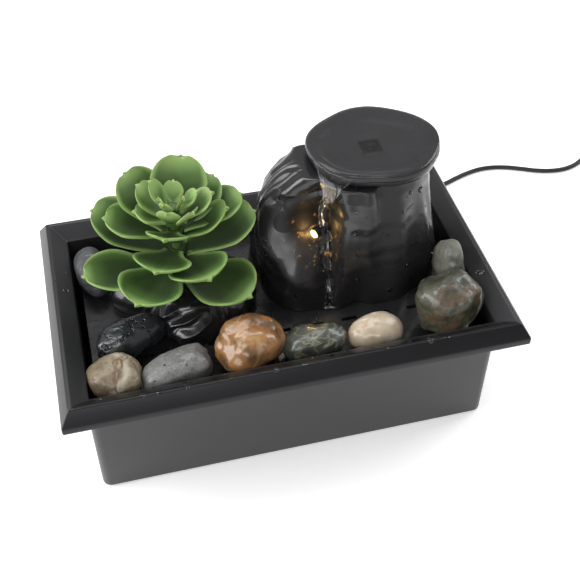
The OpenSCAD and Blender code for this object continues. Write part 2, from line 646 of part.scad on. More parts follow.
// A spoon-shaped leaf: neck, broad cupped blade and a tip that curls up
module leaf(bearing, root, reach, rise, width, hub) {
    root_r = hub - 0.9;
    steps = 8;
    across = 3;
    size = leaf_scale;
    function share(t) = (0.26 + 0.74 * (t < 0.66 ? 3 * pow(t / 0.66, 2) - 2 * pow(t / 0.66, 3) : 1))
        * (t > 0.55 ? sqrt(1 - pow((t - 0.55) / 0.46, 2.2)) : 1);
    function rim(t, s, side) = let (w = width / 2 * share(t), r = root_r + (reach - root_r) * t,
            z = root + rise * (0.55 * t + 0.45 * t * t) + 0.30 * w * s * s)
        [root_r + size * (r - root_r), size * w * s,
            deck_top + size * z + side * leaf_t / 2 * (1 - 0.6 * s * s)];
    rings = [for (i = [0 : steps]) let (t = i / steps * 0.995) concat(
        [for (j = [-across : across]) rim(t, j / across, -1)],
        [for (j = [across : -1 : -across]) rim(t, j / across, 1)])];
    half = 2 * across + 1;
    n = 2 * half;
    last = steps * n;
    translate([stem_x, stem_y, 0]) rotate([0, 0, bearing]) polyhedron(
        [for (ring = rings) for (p = ring) p],
        concat(
            [for (i = [0 : steps - 1]) for (j = [0 : n - 1]) let (k = (j + 1) % n)
                [i * n + j, (i + 1) * n + j, (i + 1) * n + k]],
            [for (i = [0 : steps - 1]) for (j = [0 : n - 1]) let (k = (j + 1) % n)
                [i * n + j, (i + 1) * n + k, i * n + k]],
            [for (j = [0 : half - 2]) [j, j + 1, n - 1 - j]],
            [for (j = [0 : half - 2]) [j + 1, n - 2 - j, n - 1 - j]],
            [for (j = [0 : half - 2]) [last + j, last + n - 1 - j, last + j + 1]],
            [for (j = [0 : half - 2]) [last + j + 1, last + n - 1 - j, last + n - 2 - j]]));
}

module whorl(leaves, tone, hub = 5.2) {
    roots = [for (l = leaves) l[1]];
    hub_h = leaf_scale * (max(roots) - min(roots)) + 3;
    color(tone) {
        translate([stem_x, stem_y, deck_top + leaf_scale * min(roots) - 1.5]) difference() {
            cylinder(h = hub_h, r = hub);
            translate([0, 0, -1]) cylinder(h = hub_h + 2, r = spindle_r + 0.02);
        }
        for (l = leaves) leaf(l[0], l[1], l[2], l[3], l[4], hub);
    }
}

module leaves_low() { whorl(low_leaves, "#4f7a2c"); }
module leaves_spread() { whorl(spread_leaves, "#568232"); }
module leaves_high() { whorl(high_leaves, "#62903c"); }
module leaves_inner() { whorl(inner_leaves, "#70a04a"); }
module leaves_bud() { whorl(bud_leaves, "#86b35c", 3.9); }

// Stones -------------------------------------------------------------------------------------------

module stone(k, tone) {
    s = stone_list[k - 1];
    p = s[6];
    function bulge(v) = pow(1 - pow(abs(v), p), 1 / p);
    color(tone) translate([s[0], s[1], deck_top + s[4] / 2]) rotate([0, 0, s[5]])
        loft([for (v = [-0.96, -0.8, -0.55, -0.25, 0.08, 0.4, 0.68, 0.88, 0.98])
            [for (i = [0 : 17]) let (a = i * 20, r = squircle(a, s[2] / 2, s[2] / 2, s[3] / 2, s[3] / 2, p)
                    * bulge(v) * (1 + 0.03 * sin(2 * a + 60 * k)))
                [r * cos(a), r * sin(a), s[4] / 2 * (v < 0 ? v / 0.96 : v / 0.98)]]]);
}

// Cord ---------------------------------------------------------------------------------------------

module cord_lead() {
    color("#131313") swept(curved(cord_points, 2), cord_r);
}

module cord_coil() {
    side = cord_r * coil_turns_wide;
    high = 2 * cord_r * coil_turns_high;
    color("#131313") translate(coil_at) rotate_extrude()
        polygon([[coil_r - side, 1], [coil_r - side + 1, 0], [coil_r + side - 1, 0], [coil_r + side, 1],
            [coil_r + side, high - 1], [coil_r + side - 1, high], [coil_r - side + 1, high],
            [coil_r - side, high - 1]]);
}

module cord_tail() {
    color("#131313") swept(curved(tail_points, 3), cord_r);
}

module plug_body() {
    color("#161616") translate(plug_at) {
        translate([-7.5, -31, -plug_z]) cube([15, 21, 2 * plug_z]);
        translate([0, -10, 0]) rotate([-90, 0, 0]) cylinder(h = 10, r1 = 3.6, r2 = 2.3);
    }
}

module plug_shell() {
    color("silver") translate(plug_at + [-6, -43, -2.25]) difference() {
        cube([12, 12, 4.5]);
        translate([0.4, -1, 0.4]) cube([11.2, 12, 1.6]);
    }
}

basin();
foot_pads();
cord_grommet();
deck_plate();
rock_column();
column_screws();
rock_mound();
mound_screws();
spill_dish();
dish_screws();
riser_tube();
lamp_holder();
lamp_lens();
lamp_lead();
lamp_plug();
pump_body();
stator_core();
stator_coil();
intake_cover();
flow_dial();
impeller();
rotor_magnet();
pump_shaft();
front_bush();
rear_bush();
suction_cups();
pump_lead();
plant_socket();
plant_stem();
leaves_low();
leaves_spread();
leaves_high();
leaves_inner();
leaves_bud();
stone(1, "#3a3c3f");  // stone_1
stone(2, "#232528");  // stone_2
stone(3, "#9c8c6e");  // stone_3
stone(4, "#6e6e6a");  // stone_4
stone(5, "#a8682c");  // stone_5
stone(6, "#3d463e");  // stone_6
stone(7, "#c9b79c");  // stone_7
stone(8, "#4a4c3e");  // stone_8
stone(9, "#55584f");  // stone_9
cord_lead();
cord_coil();
cord_tail();
plug_body();
plug_shell();
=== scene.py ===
"""Tabletop water fountain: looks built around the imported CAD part.

Every section is one piece, in the order in which the fountain goes together. All sizes are metres,
in the frame of the CAD part: X to the right, Y to the back, Z up from the table.
"""
import math

import bpy
import numpy as np
from mathutils import Matrix, Vector


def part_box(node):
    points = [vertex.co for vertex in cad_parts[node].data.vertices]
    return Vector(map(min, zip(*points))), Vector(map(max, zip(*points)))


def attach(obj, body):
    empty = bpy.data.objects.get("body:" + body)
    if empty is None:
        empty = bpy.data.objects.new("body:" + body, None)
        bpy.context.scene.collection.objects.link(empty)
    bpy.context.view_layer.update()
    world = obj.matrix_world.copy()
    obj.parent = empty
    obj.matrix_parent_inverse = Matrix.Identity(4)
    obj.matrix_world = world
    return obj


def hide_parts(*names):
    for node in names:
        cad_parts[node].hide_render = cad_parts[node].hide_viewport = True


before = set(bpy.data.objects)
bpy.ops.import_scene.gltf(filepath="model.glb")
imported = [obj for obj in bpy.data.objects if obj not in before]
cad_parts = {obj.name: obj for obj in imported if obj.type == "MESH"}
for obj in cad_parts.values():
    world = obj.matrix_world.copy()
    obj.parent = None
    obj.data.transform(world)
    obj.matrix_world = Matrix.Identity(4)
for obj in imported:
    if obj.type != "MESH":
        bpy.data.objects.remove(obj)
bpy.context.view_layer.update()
scene = bpy.context.scene

# Camera, lights and table. The table is a wide white sheet that glows faintly, and four soft lights
# stand round it: a broad one at the left and weaker ones at the right, behind and in front.
view_turn = math.radians(-14.32)
view_rise = math.radians(45.68)
view_roll = math.radians(0.25)
view_target = Vector((0.02723, 0.06495, 0.0))
view_distance = 0.68289
to_camera = Vector((math.sin(view_turn) * math.cos(view_rise),
                    -math.cos(view_turn) * math.cos(view_rise), math.sin(view_rise)))
level = (-to_camera).cross(Vector((0, 0, 1))).normalized()
upward = level.cross(-to_camera)
side_axis = math.cos(view_roll) * level + math.sin(view_roll) * upward
up_axis = -math.sin(view_roll) * level + math.cos(view_roll) * upward
camera = bpy.data.objects.new("view_camera", bpy.data.cameras.new("view_camera"))
camera.data.lens = 60.94
camera.data.clip_start = 0.01
turn = Matrix((side_axis, up_axis, to_camera)).transposed().to_4x4()
camera.matrix_world = Matrix.Translation(view_target + view_distance * to_camera) @ turn
scene.collection.objects.link(camera)
scene.camera = camera
fountain_middle = Vector((0.0, 0.0, 0.09))


def softbox(name, place, width, height, power):
    """A rectangular white studio light at place that faces the fountain's middle."""
    light = bpy.data.lights.new(name, "AREA")
    light.shape = "RECTANGLE"
    light.size = width
    light.size_y = height
    light.energy = power
    box = bpy.data.objects.new(name, light)
    facing = (fountain_middle - Vector(place)).to_track_quat("-Z", "Y").to_matrix().to_4x4()
    box.matrix_world = Matrix.Translation(place) @ facing
    scene.collection.objects.link(box)


softbox("left_softbox", (-1.05, 0.05, 0.75), 0.9, 1.0, 15.0)
softbox("right_softbox", (1.0, 0.3, 0.7), 0.45, 0.9, 6.0)
softbox("back_softbox", (-0.1, 0.55, 1.35), 1.1, 0.5, 8.0)
softbox("front_softbox", (-0.35, -1.3, 0.95), 1.0, 0.6, 7.0)
world = bpy.data.worlds.new("studio")
world.use_nodes = True
world.node_tree.nodes["Background"].inputs["Color"].default_value = (1.0, 1.0, 1.0, 1.0)
world.node_tree.nodes["Background"].inputs["Strength"].default_value = 0.42
scene.world = world
scene.view_settings.view_transform = "Standard"


class Shade:
    """A socket of a material's nodes that takes part in Python arithmetic."""

    def __init__(self, tree, socket):
        self.tree = tree
        self.socket = socket

    def node(self, kind, settings=None, output=0, **values):
        """Adds a node. Its settings are set first, then its inputs by name, or as i0, i1 by number."""
        made = self.tree.nodes.new(kind)
        for key, value in (settings or {}).items():
            setattr(made, key, value)
        for key, value in values.items():
            by_number = key[0] == "i" and key[1:].isdigit()
            socket = made.inputs[int(key[1:])] if by_number else made.inputs[key.replace("_", " ")]
            if isinstance(value, Shade):
                self.tree.links.new(value.socket, socket)
            else:
                socket.default_value = value
        return Shade(self.tree, made.outputs[output])

    def maths(self, operation, first, second=0.0):
        """One sum, product, power and so on of two values, each a number or another socket."""
        return self.node("ShaderNodeMath", {"operation": operation}, i0=first, i1=second)

    def __add__(self, other):
        return self.maths("ADD", self, other)

    def __sub__(self, other):
        return self.maths("SUBTRACT", self, other)

    def __rsub__(self, other):
        return self.maths("SUBTRACT", other, self)

    def __mul__(self, other):
        return self.maths("MULTIPLY", self, other)

    def __pow__(self, other):
        return self.maths("POWER", self, other)

    __radd__ = __add__
    __rmul__ = __mul__

    def step(self, low, high):
        """0 below low, 1 above high and smooth between them."""
        return self.node("ShaderNodeMapRange", {"interpolation_type": "SMOOTHSTEP"},
                         i0=self, i1=low, i2=high, i3=0.0, i4=1.0)

    def near(self, place, width):
        """1 where the value is place, falling smoothly to 0 at a distance of width."""
        return 1 - (self - place).size().step(0.0, width)

    def tint(self, dark, light):
        """A colour from dark to light as the value goes from 0 to 1. Each may be another socket."""
        return self.node("ShaderNodeMix", {"data_type": "RGBA"}, 2,
                         i0=self, i6=rgba(dark), i7=rgba(light))

    def noise(self, scale, detail=3.0, rough=0.5, warp=0.0, stretch=(1.0, 1.0, 1.0), shift=(0.0, 0.0, 0.0)):
        """Cloudy noise from 0 to 1 on the vector that this socket carries."""
        moved = self.node("ShaderNodeMapping", Vector=self, Location=shift, Scale=stretch)
        return self.node("ShaderNodeTexNoise", Vector=moved, Scale=scale, Detail=detail,
                         Roughness=rough, Distortion=warp)

    def cells(self, scale, shift=(0.0, 0.0, 0.0)):
        """Distance in a field of random cells, on the vector that this socket carries."""
        moved = self.node("ShaderNodeMapping", Vector=self, Location=shift)
        return self.node("ShaderNodeTexVoronoi", Vector=moved, Scale=scale)

    def bump(self, distance):
        """A normal bent by the height that this socket carries, where 1 stands for distance metres."""
        return self.node("ShaderNodeBump", Height=self, Strength=1.0, Distance=distance)

    def part(self, number):
        """One of the three numbers of the vector that this socket carries: 0 is x, 1 is y, 2 is z."""
        return self.node("ShaderNodeSeparateXYZ", None, number, Vector=self)

    def away(self, place):
        """Distance in metres from a place, where this socket carries a vector."""
        return self.node("ShaderNodeVectorMath", {"operation": "DISTANCE"}, 1, i0=self, i1=place)

    def size(self):
        """The number without its sign."""
        return self.maths("ABSOLUTE", self)

    def or_more(self, other):
        """The larger of two values."""
        return self.maths("MAXIMUM", self, other)


def rgba(colour):
    """A colour as four numbers, unless it already comes from a socket."""
    return colour if isinstance(colour, Shade) else (*colour[:3], 1.0)


def finish(name, **constants):
    """A new material: its shader's constants are set on the sockets. Returns it, the object
    coordinates as a Shade, and a function that links or sets one of the shader's sockets."""
    material = bpy.data.materials.new(name)
    material.use_nodes = True
    tree = material.node_tree
    shader = tree.nodes["Principled BSDF"]
    for key, value in constants.items():
        shader.inputs[key.replace("_", " ")].default_value = value

    def feed(**sockets):
        for key, value in sockets.items():
            tree.links.new(value.socket, shader.inputs[key.replace("_", " ")])

    where = Shade(tree, tree.nodes.new("ShaderNodeTexCoord").outputs["Object"])
    return material, where, feed


def put(name, points, faces, material, uv=None):
    """Makes a piece from points, quads or polygons and a material, with its object at the origin.
    uv gives one pair of numbers for each point."""
    mesh = bpy.data.meshes.new(name)
    mesh.from_pydata(np.asarray(points, float).reshape(-1, 3).tolist(), [], [list(f) for f in faces])
    mesh.validate()
    mesh.polygons.foreach_set("use_smooth", [True] * len(mesh.polygons))
    if uv is not None:
        corner = np.zeros(len(mesh.loops), np.int32)
        mesh.loops.foreach_get("vertex_index", corner)
        layer = mesh.uv_layers.new(name="UVMap")
        layer.data.foreach_set("uv", np.asarray(uv, np.float32).reshape(-1, 2)[corner].ravel())
    mesh.materials.append(material)
    piece = bpy.data.objects.new(name, mesh)
    scene.collection.objects.link(piece)
    return piece


table_material, where, feed = finish("table_white", Base_Color=(0.93, 0.93, 0.93, 1.0),
                                     Emission_Color=(1.0, 1.0, 1.0, 1.0), Emission_Strength=0.3)
feed(Roughness=where.noise(3.0).step(0.0, 1.0) * 0.1 + 0.6)
table_corners = 4.0 * np.array([(-1, -1, 0), (1, -1, 0), (1, 1, 0), (-1, 1, 0)])
table = put("table_sheet", table_corners, [(0, 1, 2, 3)], table_material)

# Cord: a low-voltage lead of round black rubber, 3.5 mm thick. It leaves the back wall through its
# grommet, falls to the table, wanders off to the right and ends in a flat coil beside its plug.
cord_r = 0.00175
cord_exit = np.array((0.088, 0.0651, 0.055))
cord_route = np.array([
    (0, 0, 55), (0, 7, 55), (0, 13.5, 55), (1, 22, 53), (3.5, 32, 46), (8, 42, 34), (15, 52, 19),
    (25, 61, 8), (38, 68, 3), (53, 73, 1.75), (70, 77, 1.75), (84, 81, 1.75), (94, 85, 1.75),
    (104, 88.5, 1.75), (115, 91, 1.75), (126, 91, 1.75), (137, 88.5, 1.75), (148, 84, 1.75),
    (159, 79, 1.75), (170, 76, 1.75), (181, 75.5, 1.75), (191, 78, 1.75), (200, 83, 1.75),
    (206, 87.5, 1.75), (213, 92.5, 1.75)]) / 1000
tail_route = np.array([(264.3, 67, 4.7), (265, 59, 3.4), (266, 51, 3.8), (266, 43, 4.2)]) / 1000
coil_centre = np.array((0.325, 0.1401))
coil_outer = 0.027
coil_pitch = 2 * cord_r
layer_turns = 4
entry_turn = 112
climb_turns = 0.311


def curved(points, steps=6):
    """A smooth line through points by Catmull and Rom's rule, with steps points for each span."""
    p = np.concatenate([points[:1], points, points[-1:]])
    t = (np.arange(steps) / steps)[:, None, None]
    a, b, c, d = p[:-3], p[1:-2], p[2:-1], p[3:]
    line = 0.5 * (2 * b + (c - a) * t + (2 * a - 5 * b + 4 * c - d) * t ** 2
                  + (3 * b - a - 3 * c + d) * t ** 3)
    return np.concatenate([line.transpose(1, 0, 2).reshape(-1, points.shape[1]), points[-1:]])


def winding():
    """The coil: it spirals in for four turns on the table, climbs one cord's thickness and spirals
    out again on top, always a cord's thickness from the turn beside it."""
    inner = coil_outer - layer_turns * coil_pitch
    t = np.linspace(0, 1, 24 * layer_turns, endpoint=False)
    climb = np.linspace(0, 1, 8, endpoint=False)
    turns = np.concatenate([t * layer_turns, layer_turns + climb * climb_turns,
                            layer_turns + climb_turns + np.append(t, 1) * layer_turns])
    radius = np.concatenate([coil_outer - t * layer_turns * coil_pitch,
                             inner - 0.0004 * np.sin(np.pi * climb),
                             inner + np.append(t, 1) * layer_turns * coil_pitch])
    height = cord_r * np.concatenate([np.ones(len(t)), 1 + 2 * climb, 3 * np.ones(len(t) + 1)])
    angle = np.radians(entry_turn - 360 * turns)
    return np.stack([coil_centre[0] + radius * np.cos(angle), coil_centre[1] + radius * np.sin(angle),
                     height], 1)


coil_line = winding()
cord_start = cord_exit * (1, 1, 0)
lead_in = coil_line[0] + np.array([(-0.009, -0.0045, 0)])
way = curved(np.concatenate([cord_start + cord_route, lead_in, coil_line[:1]]))
way_out = curved(np.concatenate([coil_line[-1:], cord_start + tail_route]))
cord_line = np.concatenate([way[:-1], coil_line[:-1], way_out])
cord_curve = bpy.data.curves.new("power_cord", "CURVE")
cord_curve.dimensions = "3D"
cord_curve.bevel_depth = cord_r
cord_curve.bevel_resolution = 3
cord_curve.use_fill_caps = True
spline = cord_curve.splines.new("POLY")
spline.points.add(len(cord_line) - 1)
spline.points.foreach_set("co", np.c_[cord_line, np.ones(len(cord_line))].ravel())
power_cord = bpy.data.objects.new("power_cord", cord_curve)
scene.collection.objects.link(power_cord)
rubber, where, feed = finish("cord_rubber_satin", IOR=1.5, Specular_IOR_Level=0.35)
scuffs = where.noise(900, 3)
feed(Base_Color=scuffs.tint((0.008, 0.008, 0.009), (0.018, 0.018, 0.019)),
     Roughness=where.noise(240).step(0.2, 0.8) * 0.15 + 0.36, Normal=scuffs.bump(0.00006))
cord_curve.materials.append(rubber)
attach(power_cord, "basin")
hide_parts("cord_lead", "cord_coil", "cord_tail")

# Basin: one satin black moulding. An upright lip, a sloping fascia and a narrow flat crest run round
# it with mitred corners, and an inner slope drips back into the rounded reservoir.
basin_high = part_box("basin")[1]
half_w = basin_high.x
half_d = basin_high.y
rim_top = basin_high.z
wall_inset = 0.0134
inner_inset = 0.016
fascia_foot = 0.0738
inner_foot = 0.0796
crest_outer = 0.005
crest_inner = 0.007


def grid_faces(rows, columns):
    """Quads between neighbouring rows of points, where the last column joins the first."""
    i, j = np.meshgrid(np.arange(rows - 1), np.arange(columns), indexing="ij")
    k = (j + 1) % columns
    quads = np.stack([i * columns + j, i * columns + k, (i + 1) * columns + k, (i + 1) * columns + j], -1)
    return quads.reshape(-1, 4)


def closed_faces(rows, columns):
    """Faces over rings of points whose two ends close on a pole: the poles are the points that
    follow the last ring, the lower one first."""
    around = np.arange(columns)
    after = (around + 1) % columns
    last = (rows - 1) * columns
    low = np.stack([np.full(columns, rows * columns), after, around], 1)
    high = np.stack([np.full(columns, rows * columns + 1), last + around, last + after], 1)
    return [*grid_faces(rows, columns).tolist(), *low.tolist(), *high.tolist()]


def put_rings(name, rings, material, caps=True):
    """Makes a closed piece from rings of points that run anticlockwise and upwards, with a pole in
    the middle of the first and the last ring. Without caps the last ring joins the first."""
    rows, columns = rings.shape[:2]
    points = rings.reshape(-1, 3)
    if not caps:
        return put(name, points, grid_faces(rows + 1, columns) % (rows * columns), material)
    points = np.concatenate([points, rings[0].mean(0)[None], rings[-1].mean(0)[None]])
    return put(name, points, closed_faces(rows, columns), material)


def rounded(profile, steps=4):
    """A line through (place, height, radius) points whose corners are rounded by quadratic arcs that
    start and end one radius from the corner."""
    p = np.array(profile, float)
    line = [p[:1, :2]]
    for before, corner, after in zip(p[:-2], p[1:-1], p[2:]):
        back = (before - corner)[:2] / np.linalg.norm((before - corner)[:2]) * corner[2]
        on = (after - corner)[:2] / np.linalg.norm((after - corner)[:2]) * corner[2]
        t = np.linspace(0, 1, steps)[:, None]
        line.append(corner[:2] + (1 - t) ** 2 * back + t ** 2 * on)
    return np.concatenate([*line, p[-1:, :2]])


def frame_rings(profile, radii, per_corner=6):
    """Carries (inset, height) points round the rim's rectangle: each point makes a ring with four
    rounded corners of its own radius."""
    inset, height, radius = profile[:, :1], profile[:, 1:2], np.asarray(radii, float)[:, None]
    turns = np.concatenate([np.linspace(q * 90, q * 90 + 90, per_corner) for q in range(4)])
    sign_x = np.repeat([1, -1, -1, 1], per_corner)
    sign_y = np.repeat([1, 1, -1, -1], per_corner)
    x = sign_x * (half_w - inset - radius) + radius * np.cos(np.radians(turns))
    y = sign_y * (half_d - inset - radius) + radius * np.sin(np.radians(turns))
    return np.stack([x, y, np.broadcast_to(height, x.shape)], -1)


basin_profile = rounded([
    (0.03, 0.0012, 0), (wall_inset, 0.0012, 0.001), (wall_inset, 0.0728, 0.0004),
    (wall_inset, rim_top - 0.0108, 0.0006), (0.0132, rim_top - 0.009, 0.0004),
    (0.0074, rim_top - 0.003, 0.0003), (0.0059, rim_top - 0.003, 0.0003), (0.0024, 0.0772, 0.0003),
    (0.0024, fascia_foot, 0.0003), (0.0, fascia_foot, 0.0006), (0.0, 0.0782, 0.0008),
    (crest_outer, rim_top, 0.0007), (crest_inner, rim_top, 0.0007), (inner_inset, inner_foot, 0.0008),
    (inner_inset + 0.0001, 0.0045, 0.0006), (0.034, 0.0038, 0)])
above = basin_profile[:, 1] > fascia_foot - 0.0001
inside = (basin_profile[:, 0] > inner_inset - 0.0002) & ~above
corner_radii = np.where(above, 0.0009, np.where(inside, 0.0024, 0.005))
moulded, where, feed = finish("basin_satin_black", IOR=1.5)
grain = where.noise(1500, 2)
to_front = 0 - where.part(1)
past_mitre = (to_front - where.part(0).size() + half_w - half_d).step(0.0, 0.0004)
# Painted shade: a band along the front rim is made partly metallic, so the black there mirrors little and
# reads darker than the sides.
painted_front_shade = past_mitre * to_front.step(0.0655, 0.0662)
feed(Base_Color=(where.noise(14) * 0.6 + grain * 0.4).tint((0.013, 0.013, 0.0145), (0.019, 0.019, 0.021)),
     Roughness=where.noise(30) * 0.08 + grain * 0.05 + 0.30, Metallic=painted_front_shade * 0.72,
     Normal=grain.bump(0.00005))
basin = put_rings("basin_moulding", frame_rings(basin_profile, corner_radii), moulded)
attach(basin, "basin")
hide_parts("basin")


def sharpen(piece, degrees):
    """Keeps smooth shading only across edges that are flatter than the given angle."""
    mesh = piece.data
    normals = np.zeros(len(mesh.polygons) * 3)
    mesh.polygons.foreach_get("normal", normals)
    normals = normals.reshape(-1, 3)
    corners = np.zeros(len(mesh.loops), int)
    mesh.loops.foreach_get("edge_index", corners)
    totals = np.zeros(len(mesh.polygons), int)
    mesh.polygons.foreach_get("loop_total", totals)
    owner = np.repeat(np.arange(len(totals)), totals)
    order = np.argsort(corners, kind="stable")
    first, second = owner[order[0::2]], owner[order[1::2]]
    bends = (normals[first] * normals[second]).sum(1) < math.cos(math.radians(degrees))
    sharp = mesh.attributes.get("sharp_edge") or mesh.attributes.new("sharp_edge", "BOOLEAN", "EDGE")
    sharp.data.foreach_set("value", bends)


sharpen(basin, 32)

# Deck: the lift-out tray that carries the stones and both rocks over the water. It is moulded in the
# basin's black plastic, and a thin film of water lies on it.
deck_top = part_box("deck_plate")[1].z
deck_material, where, feed = finish("deck_wet_black", IOR=1.46, Coat_Roughness=0.06)
film = (where.noise(26, 4, 0.6) + where.noise(90, 2) * 0.3).step(0.5, 0.75)
grain = where.noise(1300, 2)
feed(Base_Color=(where.noise(30) * 0.6 + grain * 0.4).tint((0.014, 0.014, 0.016), (0.026, 0.026, 0.028)),
     Roughness=0.32 - film * 0.16 + grain * 0.05, Coat_Weight=film * 0.5,
     Normal=(grain * 0.4 + film * 0.6).bump(0.0002))


def dress(material, *names):
    """Gives CAD pieces whose shape is right their finished material."""
    for name in names:
        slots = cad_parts[name].data.materials
        slots.clear()
        slots.append(material)


dress(deck_material, "deck_plate")

# Rock column: a hollow, gloss black moulding that looks like folded lava. A cave high at the left
# front narrows down to the groove in which the water runs. It is screwed to the deck from below.
column_axis = np.array((0.050, 0.020))
column_h = 0.078
rock_wall = 0.003
rock_lift = 0.00005
rock_rows, rock_columns = 190, 420
cave_depth = 22
column_left = [(0, 57), (0.45, 56), (0.75, 53), (0.87, 46), (0.95, 37), (1, 30)]
column_right = [(0, 57), (0.2, 56), (0.5, 50), (0.75, 46.5), (0.9, 45), (1, 43)]
column_front = [(0, 38), (0.15, 37.5), (0.5, 35), (0.8, 32), (0.92, 29.5), (1, 27)]
column_back = [(0, 38), (0.5, 36), (0.8, 33), (1, 28)]
notch_turn = [(0.1, -120), (0.2, -121), (0.5, -136), (0.75, -145), (1, -145)]
notch_half = [(0.1, 4), (0.2, 6), (0.5, 15), (0.8, 24), (1, 25)]
notch_share = [(0, 0), (0.12, 0.1), (0.3, 0.35), (0.5, 0.85), (0.6, 1), (0.8, 1), (0.95, 0.55), (1, 0.3)]


def sine(degrees):
    """Sine of an angle in degrees."""
    return np.sin(np.radians(degrees))


def cosine(degrees):
    """Cosine of an angle in degrees."""
    return np.cos(np.radians(degrees))


def ring(axis, radius, a, z):
    """Points at the given radius, angle and height round an upright axis."""
    return np.stack(np.broadcast_arrays(axis[0] + radius * cosine(a), axis[1] + radius * sine(a), z), -1)


def along(u, table):
    """The value at u between the points of a short table."""
    return np.interp(u, *zip(*table))


def squircle(a, right, left, back, front, power):
    """Radius at angle a of a rounded box with its own half-width on each of its four sides."""
    across = np.abs(cosine(a)) / np.where(cosine(a) > 0, right, left)
    deep = np.abs(sine(a)) / np.where(sine(a) > 0, back, front)
    return (across ** power + deep ** power) ** (-1 / power)


def waves(points, size, seed, count=9):
    """Soft random relief between about -1 and 1: a sum of plane waves of about the given size in
    random directions."""
    random = np.random.default_rng(seed)
    turns = random.normal(size=(count, 3))
    turns /= np.linalg.norm(turns, axis=1)[:, None]
    turns *= 2 * np.pi / size * random.uniform(0.6, 1.5, (count, 1))
    phases = points @ turns.T + random.uniform(0, 2 * np.pi, count)
    return np.sin(phases).sum(-1) / math.sqrt(count / 2) / 1.6


def folds(points, size, seed):
    """Wrinkles: one minus twice the distance of the waves from zero, at points that other waves have
    moved, so that sharp backs wander over the surface with round valleys between them."""
    moved = points + 0.3 * size * waves(points, size, seed + 1)[..., None]
    return 1 - 2 * np.abs(waves(moved, size, seed))


def column_r(a, u):
    """Radius of the column in millimetres at angle a and share u of its height: a rounded box with
    three waves, less the cave and its groove."""
    box = squircle(a, along(u, column_right), along(u, column_left), along(u, column_back),
                   along(u, column_front), 2.6)
    wave = 1.5 * sine(5 * a + 150 * u + 40) + 1.1 * sine(9 * a - 220 * u) + 0.8 * sine(13 * a + 90)
    notch = np.exp(-((a - along(u, notch_turn)) / along(u, notch_half)) ** 2)
    return box + wave - cave_depth * along(u, notch_share) * notch


def column_points(a, u, inset=0.0):
    """Points of the column at angle a and share u of its height, or of its hollow, which lies the
    inset inside its side and its top."""
    height = deck_top + rock_lift + u * (column_h - inset)
    return ring(column_axis, column_r(a, u) / 1000 - inset, a, height)


def inwards(rim, axis, height, shares):
    """Rings that lie the given shares of the way from a rim to its axis at the given height."""
    return rim + (np.array((*axis, height)) - rim) * np.array(shares)[:, None, None]


# The relief is calm on the right block and the left fold and busy elsewhere. The cave has a raised
# lip on each side and a hollow in its left half that leaves the rock round the lamp standing.
angle, share = np.meshgrid(np.linspace(-180, 180, rock_columns, endpoint=False),
                           np.linspace(0, 1, rock_rows))
rock = column_points(angle, share)
outward = np.stack([cosine(angle), sine(angle), 0 * angle], -1)
right_block = np.exp(-(np.abs(angle + 72) / 36) ** 4)
left_fold = np.exp(-(np.abs(angle + 155) / 34) ** 4)
calm = 1 - np.clip(0.93 * right_block + 0.8 * left_fold, 0, 0.93)
stretched = rock * (1, 1, 0.6)
relief = calm * (1.3 * waves(stretched, 0.050, 3) + 0.9 * folds(stretched, 0.034, 8)
                 + 0.22 * waves(rock, 0.013, 12))
relief += 0.22 * waves(rock * (0.4, 0.4, 1.6), 0.014, 20) * right_block * (share > 0.3)
past_notch, notch_width = angle - along(share, notch_turn), along(share, notch_half)
lip = np.exp(-((past_notch + 1.9 * notch_width) / 7) ** 2)
relief += 1.6 * lip * along(share, notch_share)
far_lip = np.exp(-((past_notch - 1.7 * notch_width) / 6) ** 2)
relief += 1.3 * far_lip * along(share, notch_share)
hollow = np.exp(-(np.abs(angle + 152) / 19) ** 3) * np.exp(-(np.abs(share - 0.74) / 0.17) ** 3)
by_lamp = np.exp(-((angle + 143) / 9) ** 2) * np.exp(-((share - 0.575) / 0.07) ** 2)
relief *= 1 - 0.6 * np.exp(-(past_notch / notch_width) ** 2)
relief -= 9 * hollow * (1 - by_lamp)
rock = rock + outward * (relief * np.clip(share / 0.03, 0.3, 1) * 0.001)[..., None]
inner = column_points(angle[::-6], share[::-6], rock_wall)
roof = inwards(rock[-1], column_axis, deck_top + column_h, (0.08, 0.3, 0.6))
ceiling = inwards(inner[0], column_axis, deck_top + column_h - rock_wall, (0.6, 0.3))
rock_material, where, feed = finish("rock_gloss_black", IOR=1.5, Coat_Roughness=0.05,
                                    Emission_Strength=1.6)
swirl = where.noise(75, 4, 0.5, 0.6, (1, 1, 0.6))
pores = where.noise(420, 4, 0.6)
lens_low, lens_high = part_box("lamp_lens")
from_lamp = where.away(tuple((lens_low + lens_high) / 2))
# Painted light: the rock itself glows amber within a few millimetres of the lamp, a painted pool of
# lamplight, with painted glints scattered round it.
painted_lamp_glow = (1 - from_lamp.step(0.001, 0.0068)) ** 3
painted_glints = where.noise(230, 4, 0.6, 0.5).step(0.6, 0.68) * (1 - from_lamp.step(0.012, 0.024))
wet = (where.noise(30, 3, 0.5, 0.0, (1, 1, 0.6)) * 0.7 + swirl * 0.3).step(0.4, 0.62)
